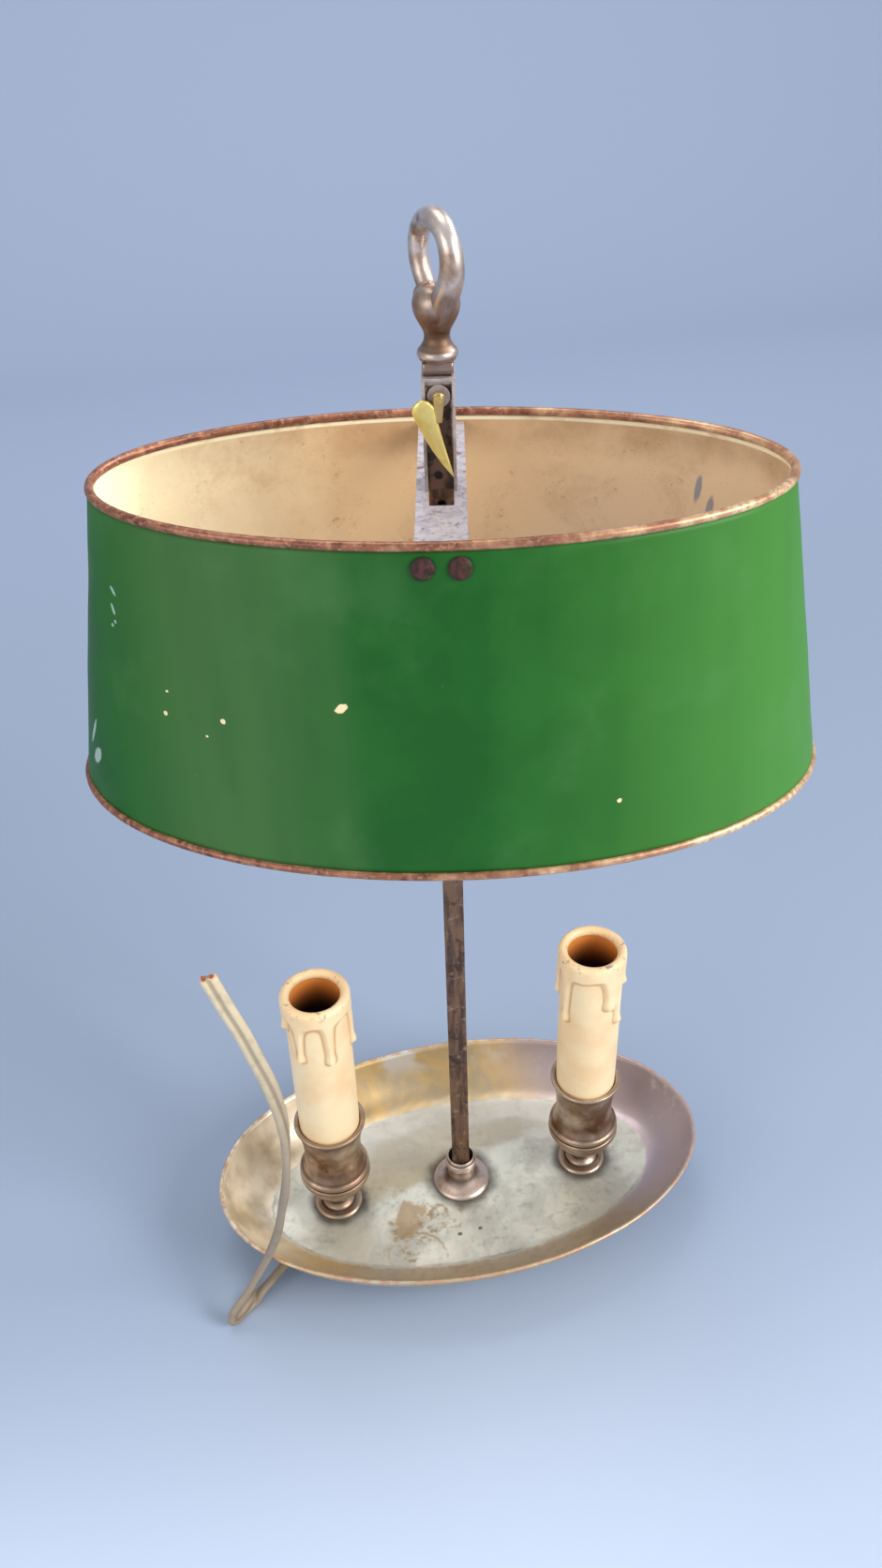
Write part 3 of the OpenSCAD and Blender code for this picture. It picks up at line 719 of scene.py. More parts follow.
@dataclass(frozen=True)
class WornNickel(Finish):
    """Nickel rubbed through to brown patina, darkest in the grooves.

    Args:
        wear: How bright the surface stays: more is brighter.
        tanned_z: Height in millimetres below which it is tanned; nought for nowhere.
    """

    name: str = "worn_nickel"
    bright: tuple = paint(198, 177, 158)
    dull: tuple = paint(148, 117, 92)
    rust: tuple = paint(128, 90, 60)
    dirt: tuple = paint(48, 34, 28)
    wear: float = 0.47
    tanned_z: float = 0.0

    def dress(self, s: Shader) -> None:
        """Clouds of patina, brown grooves and bright beads."""
        clouds = s.noise(85, 5, 0.55, warp=0.15)
        patches = s.fade(clouds, self.wear - 0.16, self.wear + 0.16)
        base = s.mix(patches, self.bright, self.dull)
        if self.tanned_z:
            low = s.plus(s.along("Z"), s.times(s.minus(clouds, 0.5), 0.03))
            tanned = s.fade(low, (self.tanned_z + 5) * MM, (self.tanned_z - 5) * MM, 0, 0.7)
            base = s.mix(tanned, base, self.rust)
        base = s.mix(s.fade(s.noise(62, 5, 0.6), 0.52, 0.68), base, self.rust)
        groove = s.fade(s.mark("hollow"), 0.05, 0.7)
        base = s.mix(s.times(groove, 0.85), base, self.dirt)
        bead = s.fade(s.mark("hollow"), -0.15, -0.8)
        base = s.mix(s.times(bead, 0.55), base, self.bright)
        specks = s.fade(s.cells(900), 0.16, 0.05)
        base = s.mix(s.times(specks, 0.5), base, self.dirt)
        s.set(Base_Color=base, Metallic=0.88)
        rough = s.fade(clouds, 0.3, 0.7, 0.26, 0.48)
        s.set(Roughness=s.plus(rough, s.times(groove, 0.25)))
        s.relief(s.plus(s.noise(420, 4), s.times(s.noise(90, 2), 2.0)), 0.12, 0.35)


@dataclass(frozen=True)
class TrayPlate(Finish):
    """Pewter-grey plate with tan stains, brassy with a painted highlight on the left side and dusky with painted
    shade on the right.
    """

    name: str = "tray_plate"
    pale: tuple = paint(226, 224, 208)
    grey: tuple = paint(196, 194, 180)
    tan: tuple = paint(172, 153, 118)
    brown: tuple = paint(168, 134, 88)
    brass: tuple = paint(222, 188, 128)
    olive: tuple = paint(190, 172, 142)
    beige: tuple = paint(255, 240, 216)
    dusk: tuple = paint(186, 169, 171)
    silver: tuple = paint(228, 222, 210)
    soot: tuple = paint(58, 50, 44)
    cup_x: float = 59.5

    def dress(self, s: Shader) -> None:
        """The floor and its stains, then the side, then a darker line along the crease and painted contact
        shadows round the socket and the cups.
        """
        cloud = s.noise(46, 6, 0.6, warp=0.4)
        fine = s.noise(260, 5, 0.6)
        floor = s.mix(s.fade(cloud, 0.38, 0.66), self.pale, self.grey)
        behind = s.spot((-26, 15, 0), (37, 15, 0), -0.3, 0.5, 75, 0.3)
        behind_right = s.spot((20, 23, 0), (24, 7, 0), -0.1, 0.6, 90, 0.3)
        front = s.spot((-29.5, -17, 0), (7.5, 9.5, 0), 0.3, 1.3, 130, 0.2)
        run_down = s.spot((-24, -25, 0), (14, 8, 0), -0.5, 1.9, 150, 0.35)
        spots = s.most(
            s.spot((-7, -30, 0), (1.1, 0.9, 0), 0, 0.5, 500), s.spot((3, -29, 0), (0.9, 0.8, 0), 0, 0.5, 500)
        )
        floor = s.mix(s.times(s.most(behind, behind_right), 0.8), floor, self.tan)
        floor = s.mix(s.times(spots, 0.8), floor, self.soot)
        stained = s.most(front, s.times(run_down, s.fade(fine, 0.42, 0.6)))
        floor = s.mix(s.times(stained, 0.75), floor, self.brown)
        ring = s.times(
            s.spot((-28, -37, 0), (13.5, 13, 0), 0.0, 0.25, 80, 0.05),
            s.minus(1.0, s.spot((-28.4, -37.6, 0), (12.9, 12.5, 0), 0.0, 0.25, 80, 0.05)),
        )
        broken = s.times(ring, s.fade(s.noise(70, 3), 0.44, 0.56, 0, 0.75))
        floor = s.mix(broken, floor, self.brown)
        side = s.mark("side")
        across = s.along("X")
        depth = s.along("Y")
        warm = s.mix(s.fade(s.noise(38, 5, 0.6, warp=0.5), 0.4, 0.62), self.brass, self.olive)
        worn = s.times(s.fade(s.noise(30, 4), 0.5, 0.62), s.fade(s.mark("side"), 1.3, 1.8))
        warm = s.mix(worn, warm, self.silver)
        # Painted highlight: the left side is lightened to pale beige where it faces the lamp.
        lit_left_side = s.fade(s.plus(across, s.times(depth, -0.5)), -0.06, -0.10, 0, 0.85)
        warm = s.mix(lit_left_side, warm, s.mix(s.fade(s.noise(55, 4), 0.38, 0.72), self.beige, self.olive))
        # Painted shade: the right side, turned away from the lamp, is darkened to dusk mottled with silver.
        shaded_right_side = s.fade(s.plus(across, s.times(depth, 0.3)), 0.035, 0.078)
        dusky = s.mix(s.fade(cloud, 0.5, 0.72), self.dusk, self.silver)
        wall = s.mix(shaded_right_side, warm, s.mix(s.fade(fine, 0.45, 0.75), self.dusk, dusky))
        frontward = s.fade(depth, -0.018, -0.05)
        front_tone = s.mix(s.fade(fine, 0.4, 0.7), self.olive, paint(168, 150, 136))
        wall = s.mix(s.times(frontward, 0.75), wall, front_tone)
        reach = s.plus(side, s.times(s.minus(fine, 0.5), 0.3))
        base = s.mix(s.fade(reach, 0.08, 0.3), floor, wall)
        # A darker grey line along the crease between the floor and the side.
        line = s.times(s.fade(s.unsigned(s.minus(reach, 0.1)), 0.12, 0.02), 0.4)
        base = s.mix(s.times(line, s.fade(s.noise(60, 4), 0.35, 0.65)), base, self.soot)
        crease = s.fade(s.unsigned(s.minus(side, 0.06)), 0.16, 0.02)
        back_glint = s.times(crease, s.fade(depth, 0.0, 0.03))
        base = s.mix(s.times(back_glint, 0.55), base, self.silver)
        # Painted contact shadow: a dark ring on the floor round the foot of the socket and of each cup.
        for x, r in ((0.0, 16.4), (-self.cup_x, 13.6), (self.cup_x, 13.6)):
            contact_shadow = s.spot((x, 0, 0), (r, r, 0), 0.0, 0.16, 140, 0.2)
            base = s.mix(s.times(contact_shadow, s.fade(side, 0.05, 0.01, 0, 0.8)), base, self.soot)
        specks = s.fade(s.cells(520), 0.13, 0.04)
        rare = s.times(specks, s.fade(s.noise(120, 2), 0.5, 0.62))
        base = s.mix(s.times(rare, 0.6), base, self.brown)
        edge = s.fade(s.mark("side"), 1.86, 2.0)
        base = s.mix(s.times(edge, s.fade(fine, 0.35, 0.7)), base, paint(196, 150, 118))
        s.set(Base_Color=base, Metallic=0.5, Roughness=s.fade(cloud, 0.3, 0.7, 0.32, 0.52))
        dents = s.plus(s.noise(70, 3), s.times(s.noise(600, 3), 0.18))
        s.relief(dents, 0.5, 0.4)


@dataclass(frozen=True)
class RustyBar(Finish):
    """Square bar gone dark rust brown, with long streaks and paler rubbed spots."""

    name: str = "rusty_bar"
    brown: tuple = paint(122, 92, 72)
    dark: tuple = paint(70, 52, 44)
    pale: tuple = paint(166, 138, 116)

    def dress(self, s: Shader) -> None:
        """Streaks along the bar with blotches over them."""
        streaks = s.noise(1.0, 5, 0.6, at=s.place((420, 420, 60)))
        base = s.mix(s.fade(streaks, 0.4, 0.66), self.brown, self.dark)
        blotch = s.noise(150, 5, 0.65, warp=0.8)
        base = s.mix(s.fade(blotch, 0.54, 0.66), base, self.dark)
        base = s.mix(s.times(s.fade(s.noise(230, 4), 0.56, 0.7), 0.7), base, self.pale)
        s.set(Base_Color=base, Metallic=0.45, Roughness=s.fade(blotch, 0.3, 0.7, 0.42, 0.68))
        s.relief(s.plus(blotch, s.times(s.noise(900, 3), 0.4)), 0.25, 0.5)


@dataclass(frozen=True)
class MottledZinc(Finish):
    """Zinc-grey plate with a lavender cast, pale scuffs and dark pits."""

    name: str = "mottled_zinc"
    grey: tuple = paint(184, 174, 180)
    pale: tuple = paint(210, 201, 203)
    dark: tuple = paint(142, 129, 134)
    rust: tuple = paint(120, 72, 50)

    def dress(self, s: Shader) -> None:
        """Mottling at two sizes, then pits and touches of rust."""
        cloud = s.noise(210, 6, 0.7, warp=0.9)
        base = s.mix(s.fade(cloud, 0.44, 0.6), self.pale, self.grey)
        base = s.mix(s.fade(s.noise(330, 5, 0.7, warp=0.5), 0.53, 0.68), base, self.dark)
        base = s.mix(s.times(s.fade(s.noise(120, 5), 0.6, 0.72), 0.8), base, self.rust)
        pits = s.fade(s.cells(700), 0.18, 0.05)
        base = s.mix(s.times(pits, 0.5), base, self.dark)
        s.set(Base_Color=base, Metallic=0.5, Roughness=s.fade(cloud, 0.3, 0.7, 0.38, 0.6))
        s.relief(s.plus(cloud, s.times(pits, -0.6)), 0.22, 0.5)


@dataclass(frozen=True)
class ClampPlate(Finish):
    """Dark rusty clamp, rubbed bright and given painted highlights along its upper edges, across its top and
    round the boss, with a dark spot painted for a hole.
    """

    name: str = "clamp_plate"
    brown: tuple = paint(98, 74, 62)
    black: tuple = paint(50, 36, 32)
    bright: tuple = paint(206, 192, 186)
    top_z: float = 408.4
    half: float = 5.06

    def dress(self, s: Shader) -> None:
        """Rust blotches, then bright metal and painted highlights at the edges above the shade's rim."""
        blotch = s.noise(190, 5, 0.65, warp=0.7)
        base = s.mix(s.fade(blotch, 0.42, 0.6), self.brown, self.black)
        spread = s.times(s.minus(s.noise(500, 4), 0.5), 0.0016)
        aside = s.unsigned(s.along("X", -TURN))
        # Painted highlights: bright metal along the upper side edges, the top band and the boss's face, where
        # they catch the light.
        edges = s.fade(s.plus(aside, spread), (self.half - 1.5) * MM, (self.half - 0.9) * MM)
        high = s.fade(s.along("Z"), (self.top_z - 25) * MM, (self.top_z - 17) * MM)
        band = s.fade(s.plus(s.along("Z"), spread), (self.top_z - 2.6) * MM, (self.top_z - 1.9) * MM)
        front = s.fade(s.along("Y", -TURN), -(self.half + 0.9) * MM, -(self.half + 1.3) * MM)
        rubbed_and_lit = s.most(s.most(s.times(edges, high), band), s.times(front, 0.6))
        base = s.mix(s.times(rubbed_and_lit, s.fade(blotch, 0.7, 0.3, 0.55, 0.95)), base, self.bright)
        # Painted shade: a near-black round spot for the inside of a hole that the solid does not have.
        painted_hole = turned(np.array([[-0.7, -self.half, 377.2]]))[0]
        base = s.mix(s.spot(painted_hole, (1.4, 3, 1.4), 0, 0.2, 500, 0.2), base, paint(22, 16, 16))
        s.set(Base_Color=base, Metallic=0.45, Roughness=s.fade(blotch, 0.3, 0.7, 0.36, 0.6))
        s.relief(s.plus(blotch, s.times(s.noise(900, 3), 0.4)), 0.2, 0.5)


@dataclass(frozen=True)
class PaleBrass(Finish):
    """Polished pale brass with soft tarnish."""

    name: str = "leaf_brass"
    bright: tuple = paint(238, 218, 136)
    tarnish: tuple = paint(214, 186, 98)
    stalk: tuple = paint(176, 152, 112)

    def dress(self, s: Shader) -> None:
        """A yellow metal with faint clouds and rubbed scratches, duller on the stalk."""
        cloud = s.noise(140, 4, 0.5)
        base = s.mix(s.fade(cloud, 0.42, 0.66), self.bright, self.tarnish)
        base = s.mix(s.times(s.mark("stalk"), 0.75), base, self.stalk)
        s.set(Base_Color=base, Metallic=0.72, Roughness=s.fade(cloud, 0.3, 0.7, 0.3, 0.44))
        s.relief(s.noise(1.0, 3, 0.5, at=s.place((900, 900, 120))), 0.04, 0.4)


@dataclass(frozen=True)
class PlainBrass(Finish):
    """Turned brass of the hidden fittings, dulled."""

    name: str = "plain_brass"
    bright: tuple = paint(212, 176, 104)
    tarnish: tuple = paint(150, 114, 62)

    def dress(self, s: Shader) -> None:
        """A brass with dull clouds and fine turning marks."""
        cloud = s.noise(160, 4)
        s.set(Base_Color=s.mix(s.fade(cloud, 0.42, 0.64), self.bright, self.tarnish), Metallic=0.95)
        s.set(Roughness=s.fade(cloud, 0.3, 0.7, 0.24, 0.44))
        s.relief(s.noise(1.0, 2, at=s.place((200, 200, 4000))), 0.03, 0.5)


@dataclass(frozen=True)
class DarkIron(Finish):
    """Dark red-brown heads of the rivets."""

    name: str = "rivet_iron"
    brown: tuple = paint(84, 44, 36)
    black: tuple = paint(48, 28, 24)
    paint_left: tuple = paint(30, 62, 30)

    def dress(self, s: Shader) -> None:
        """Rust in two tones over a rough head, with some of the wall's green left on it."""
        cloud = s.noise(420, 5, 0.7)
        base = s.mix(s.fade(cloud, 0.4, 0.6), self.brown, self.black)
        base = s.mix(s.fade(s.noise(260, 4), 0.5, 0.62, 0, 0.55), base, self.paint_left)
        s.set(Base_Color=base)
        s.set(Specular_IOR_Level=0.3, Roughness=s.fade(cloud, 0.3, 0.7, 0.42, 0.66))
        s.relief(cloud, 0.18, 0.6)


@dataclass(frozen=True)
class Insulation(Finish):
    """Dark moulded insulation."""

    name: str = "insulation"
    tone: tuple = paint(42, 34, 30)
    dust: tuple = paint(74, 62, 54)

    def dress(self, s: Shader) -> None:
        """Dull black-brown with dust on it."""
        cloud = s.noise(240, 5)
        base = s.mix(s.fade(cloud, 0.5, 0.75), self.tone, self.dust)
        s.set(Base_Color=base, Roughness=s.fade(cloud, 0, 1, 0.4, 0.6))
        s.relief(cloud, 0.05, 0.4)


@dataclass(frozen=True)
class DripWax(Finish):
    """Cream imitation wax with a tan painted shadow round the drips and a grubby lip."""

    name: str = "drip_wax"
    cream: tuple = paint(255, 226, 180)
    warm: tuple = paint(249, 209, 158)
    tan: tuple = paint(206, 160, 104)
    soil: tuple = paint(132, 108, 96)

    def dress(self, s: Shader) -> None:
        """Cream clouds, a tan painted shadow along the drips' outlines from the mesh, and soil near the mouth.
        """
        cloud = s.noise(60, 4, 0.5)
        base = s.mix(s.fade(cloud, 0.35, 0.7), self.cream, self.warm)
        # Painted shadow: tan along the outline mark, just below the raised edges of the wax.
        outline = s.times(s.mark("outline"), s.fade(s.noise(200, 3), 0.2, 0.6, 0.6, 1.0))
        base = s.mix(outline, base, self.tan)
        grime = s.times(s.mark("mouth"), s.fade(s.noise(330, 5, 0.7), 0.56, 0.66))
        base = s.mix(s.times(grime, 0.8), base, self.soil)
        specks = s.fade(s.cells(640), 0.1, 0.03)
        base = s.mix(s.times(specks, 0.35), base, self.tan)
        s.set(Base_Color=base, Roughness=s.fade(cloud, 0.2, 0.8, 0.34, 0.46))
        s.set(Subsurface_Weight=0.12, Subsurface_Radius=(0.004, 0.0026, 0.0014), Subsurface_Scale=1.0)
        s.relief(s.noise(130, 3), 0.16, 0.3)


@dataclass(frozen=True)
class Card(Finish):
    """Orange-brown card, with painted shade that darkens it down inside the tube."""

    name: str = "tube_card"
    top: tuple = paint(232, 142, 58)
    deep: tuple = paint(34, 20, 12)
    top_z: float = 153.0
    deep_z: float = 134.0

    def dress(self, s: Shader) -> None:
        """Fibres across painted shade that deepens downwards."""
        fibre = s.noise(1.0, 5, 0.65, at=s.place((700, 700, 1800)))
        # Painted shade: the card goes from orange at the mouth to near black deep inside the tube.
        depth = s.fade(s.along("Z"), self.deep_z * MM, self.top_z * MM)
        base = s.mix(depth, self.deep, self.top)
        base = s.mix(s.times(s.fade(fibre, 0.45, 0.75, 0, 0.35), depth), base, paint(214, 150, 84))
        s.set(Base_Color=base, Roughness=0.72)
        s.relief(fibre, 0.08, 0.5)


@dataclass(frozen=True)
class GreenEnamel(Finish):
    """Green enamel, faded in broad bands, chipped to the cream beneath."""

    name: str = "green_enamel"
    green: tuple = paint(20, 84, 24)
    fresh: tuple = paint(25, 93, 28)
    faded: tuple = paint(60, 104, 50)
    light: tuple = paint(74, 138, 52)
    chip: tuple = paint(246, 220, 170)
    scuff: tuple = paint(196, 212, 206)
    chips: tuple = (
        ((-31.8, -59.3, 326.2), 2.1, 1.25, 0.6),
        ((-70.1, -51.9, 317.4), 0.85, 0.85, 0.0),
        ((-89.8, -43.5, 315.6), 0.7, 0.7, 0.4),
        ((-76.1, -50.8, 311.1), 0.45, 0.4, 0.0),
        ((-88.4, -42.7, 323.3), 0.5, 0.4, 0.0),
        ((54.6, -61.5, 290.3), 0.75, 0.75, 0.0),
    )
    scratches: tuple = (
        ((-104.3, -27.0, 350.4), 0.55, 1.5, 0.5),
        ((-105.2, -26.7, 344.2), 0.5, 1.7, 0.25),
        ((-104.9, -27.6, 340.2), 0.45, 0.6, 0.0),
        ((-106.2, -26.2, 338.6), 0.45, 0.6, 0.0),
        ((-121.6, -21.5, 285.0), 1.3, 4.0, -0.45),
        ((-122.4, -20.5, 292.5), 0.45, 6.0, -0.35),
    )

    def flake(self, s: Shader, place: tuple, grain: float) -> Socket:
        """One chip or scratch on the turned shade.

        Args:
            s: The shader that is being filled.
            place: Middle along, across and up the shade, half sizes and lean.
            grain: Scale of its ragged edge.

        Returns:
            Its strength.
        """
        (x, y, z), wide, tall, lean = place
        middle = turned(np.array([[x, y, z]]))[0]
        coords = s.place((1, 1, 1), [-c * MM for c in middle], -TURN)
        tilt = s.tree.nodes.new("ShaderNodeMapping")
        tilt.inputs["Rotation"].default_value = (0, lean, 0)
        s.plug(tilt.inputs["Vector"], coords)
        sized = s.tree.nodes.new("ShaderNodeMapping")
        sized.inputs["Scale"].default_value = (1 / (wide * MM), 1 / (9 * MM), 1 / (tall * MM))
        s.plug(sized.inputs["Vector"], tilt.outputs[0])
        length = s.tree.nodes.new("ShaderNodeVectorMath")
        length.operation = "LENGTH"
        s.plug(length.inputs[0], sized.outputs[0])
        ragged = s.times(s.minus(s.noise(grain, 3), 0.5), 0.8)
        return s.fade(s.plus(length.outputs["Value"], ragged), 1.12, 0.92)

    def dress(self, s: Shader) -> None:
        """Broad upright bands of fading, a painted highlight that lightens the right end, then the chips."""
        bands = s.noise(1.0, 3, 0.5, at=s.place((26, 10, 1.5)))
        mottle = s.noise(34, 6, 0.6)
        across = s.along("X")
        base = s.mix(s.fade(mottle, 0.35, 0.7), self.green, self.fresh)
        left_fade = s.times(s.fade(across, -0.034, -0.046), s.fade(across, -0.118, -0.085))
        left_fade = s.times(left_fade, s.fade(bands, 0.36, 0.6, 0.45, 0.95))
        base = s.mix(left_fade, base, self.faded)
        # Painted highlight: the right end is lightened where the lamp falls on it, varied by the bands.
        right = s.plus(s.fade(across, 0.0, 0.12), s.fade(bands, 0.4, 0.65, -0.12, 0.12))
        base = s.mix(s.times(right, 0.8), base, self.light)
        bloom = s.times(s.fade(s.noise(26, 4), 0.54, 0.74), 0.12)
        base = s.mix(bloom, base, paint(104, 150, 96))
        specks = s.fade(s.cells(330), 0.035, 0.015)
        few = s.times(specks, s.fade(s.noise(90, 2), 0.58, 0.64))
        base = s.mix(few, base, self.chip)
        marks = reduce(s.most, (self.flake(s, chip, 900) for chip in self.chips))
        base = s.mix(marks, base, self.chip)
        for scratch in self.scratches:
            flake = self.flake(s, scratch, 1500)
            base = s.mix(s.times(flake, 0.6), base, self.scuff)
        s.set(Base_Color=base, Roughness=s.fade(mottle, 0.3, 0.7, 0.4, 0.5))
        s.set(Specular_IOR_Level=0.22)
        skin = s.plus(s.times(s.noise(14, 2), 3.0), s.times(s.noise(700, 3), 0.12))
        s.relief(s.minus(skin, s.times(marks, 0.6)), 0.25, 0.5)


@dataclass(frozen=True)
class CreamLining(Finish):
    """Cream paint inside the shade, tan, with painted light keeping it cream at the left, specked and sooty at
    the top.
    """

    name: str = "cream_lining"
    cream: tuple = paint(255, 240, 200)
    tan: tuple = paint(228, 190, 142)
    fair: tuple = paint(250, 218, 176)
    dusk: tuple = paint(206, 168, 122)
    soot: tuple = paint(132, 96, 62)
    scorch: tuple = paint(158, 112, 68)
    slate: tuple = paint(128, 140, 156)
    top_z: float = 374.0

    def dress(self, s: Shader) -> None:
        """Cream at the left, where it is painted light, tan in the middle, fair at the right, with specks and
        scorching.
        """
        cloud = s.noise(34, 6, 0.6)
        across = s.along("X")
        # Painted light: the left wall is kept cream where the lamp lights it, tan further right.
        base = s.mix(s.fade(s.plus(across, s.times(cloud, 0.07)), -0.075, 0.02), self.cream, self.tan)
        base = s.mix(s.fade(across, 0.015, 0.09, 0, 0.75), base, self.fair)
        blotch = s.fade(s.noise(60, 7, 0.75, warp=0.3), 0.46, 0.68, 0, 0.4)
        blotch = s.times(blotch, s.fade(across, -0.11, -0.06))
        base = s.mix(blotch, base, self.dusk)
        dust = s.times(s.fade(s.cells(620), 0.2, 0.05), s.fade(s.noise(70, 5, 0.7), 0.44, 0.62))
        base = s.mix(s.times(dust, 0.4), base, self.soot)
        fleck = s.times(s.fade(s.noise(420, 5, 0.7), 0.58, 0.7), s.fade(s.noise(60, 3), 0.46, 0.62))
        base = s.mix(s.times(fleck, 0.5), base, self.soot)
        height = s.plus(s.along("Z"), s.times(s.noise(80, 4), 0.012))
        smoke = s.fade(height, (self.top_z - 12) * MM, (self.top_z + 3) * MM)
        smoke = s.times(smoke, s.fade(across, -0.10, -0.05))
        base = s.mix(s.times(smoke, s.fade(cloud, 0.3, 0.65, 0.2, 0.6)), base, self.scorch)
        lip = s.fade(s.along("Z"), (self.top_z - 1.4) * MM, (self.top_z - 0.7) * MM)
        base = s.mix(s.times(lip, s.fade(s.noise(150, 4), 0.7, 0.5, 0.5, 1.0)), base, self.cream)
        scrape = s.spot((94.5, 18.0, 352), (0.9, 0, 5.2), 0.0, 0.25, 400)
        scrape = s.most(scrape, s.spot((98.6, 16.0, 345), (0.9, 0, 5.0), 0.0, 0.25, 400))
        behind = s.fade(s.along("Y"), 0.0, 0.01)
        base = s.mix(s.times(s.times(scrape, behind), 0.8), base, self.slate)
        s.set(Base_Color=base, Roughness=s.fade(cloud, 0.3, 0.7, 0.42, 0.58))
        s.relief(s.plus(s.noise(40, 3), s.times(s.noise(800, 3), 0.15)), 0.2, 0.4)


@dataclass(frozen=True)
class WornRim(Finish):
    """Rolled rim rubbed to rust brown and bare copper-coloured metal."""

    name: str = "worn_rim"
    rust: tuple = paint(148, 94, 70)
    bare: tuple = paint(208, 158, 120)
    pale: tuple = paint(240, 212, 166)
    dark: tuple = paint(88, 50, 40)

    def dress(self, s: Shader) -> None:
        """Rust with bare patches, most to the right where painted light adds to them, and pale painted glints.
        """
        cloud = s.noise(75, 5, 0.6, warp=0.15)
        fine = s.noise(520, 5, 0.7)
        across = s.minus(s.along("X"), s.times(s.along("Y"), 0.5))
        base = s.mix(s.fade(s.noise(240, 5, 0.65), 0.4, 0.72), self.rust, self.dark)
        base = s.mix(s.fade(fine, 0.48, 0.68, 0, 0.6), base, self.bare)
        # Bare patches from wear, pushed towards the right as painted light.
        rubbed_and_lit = s.plus(cloud, s.times(across, 1.9))
        base = s.mix(s.fade(rubbed_and_lit, 0.46, 0.74, 0, 0.85), base, self.bare)
        # Painted highlight: pale glints where the rim catches the light.
        painted_glints = s.times(s.fade(rubbed_and_lit, 0.6, 0.86), s.fade(fine, 0.36, 0.58))
        base = s.mix(painted_glints, base, self.pale)
        s.set(Base_Color=base, Metallic=0.45, Roughness=s.fade(fine, 0.3, 0.7, 0.3, 0.5))
        s.relief(s.plus(cloud, s.times(s.noise(700, 3), 0.4)), 0.25, 0.5)


@dataclass(frozen=True)
class AgedFlex(Finish):
    """Beige plastic of the twin flex, greyer and darker towards the table, with dirt on it."""

    name: str = "aged_flex"
    beige: tuple = paint(222, 202, 164)
    grey: tuple = paint(156, 138, 116)
    dirt: tuple = paint(108, 90, 72)

    def dress(self, s: Shader) -> None:
        """Beige at the free end, greyer near the table, with painted shade darkening the groove."""
        cloud = s.noise(110, 5)
        height = s.plus(s.along("Z"), s.times(cloud, 0.05))
        # Greyer and darker towards the table.
        base = s.mix(s.fade(height, 0.25, 0.12), self.beige, self.grey)
        base = s.mix(s.times(s.fade(s.noise(180, 4), 0.5, 0.75), 0.25), base, self.dirt)
        # Painted shade: the groove between the two cores is darkened with the dirt colour.
        base = s.mix(s.times(s.mark("groove"), 0.6), base, self.dirt)
        s.set(Base_Color=base, Roughness=s.fade(cloud, 0.3, 0.7, 0.36, 0.5))
        s.relief(s.noise(500, 3), 0.05, 0.4)


@dataclass(frozen=True)
class CopperStrand(Finish):
    """Reddish copper of the bared cores."""

    name: str = "copper_strand"
    red: tuple = paint(206, 84, 66)
    brown: tuple = paint(120, 58, 40)

    def dress(self, s: Shader) -> None:
        """Red-brown metal with fine strands."""
        strands = s.noise(1.0, 3, at=s.place((3000, 3000, 300)))
        s.set(Base_Color=s.mix(s.fade(strands, 0.4, 0.7), self.red, self.brown))
        s.set(Metallic=0.4, Roughness=0.42)
        s.relief(strands, 0.05, 0.6)


@dataclass(frozen=True)
class Backdrop(Finish):
    """Pale blue paper under and behind the lamp."""

    name: str = "backdrop"
    blue: tuple = paint(157, 171, 193)
    near: tuple = paint(208, 221, 243)
    far: tuple = paint(175, 188, 212)

    def dress(self, s: Shader) -> None:
        """A matt pale blue with painted light: lighter towards the front edge, less so on the right, and on the
        wall.
        """
        # Painted light: the floor is lightened towards the front edge, less on the right where the key lamp
        # already lights it, and the wall is lightened too.
        front = s.times(s.fade(s.along("Y"), 0.0, -0.22), s.fade(s.along("X"), 0.2, -0.1, 0.6, 1.0))
        base = s.mix(front, self.blue, self.near)
        base = s.mix(s.fade(s.along("Y"), 0.35, 1.1), base, self.far)
        s.set(Base_Color=base, Roughness=0.9)
        s.set(Specular_IOR_Level=0.1)


# ---- sub-assemblies ------------------------------------------------------------------------


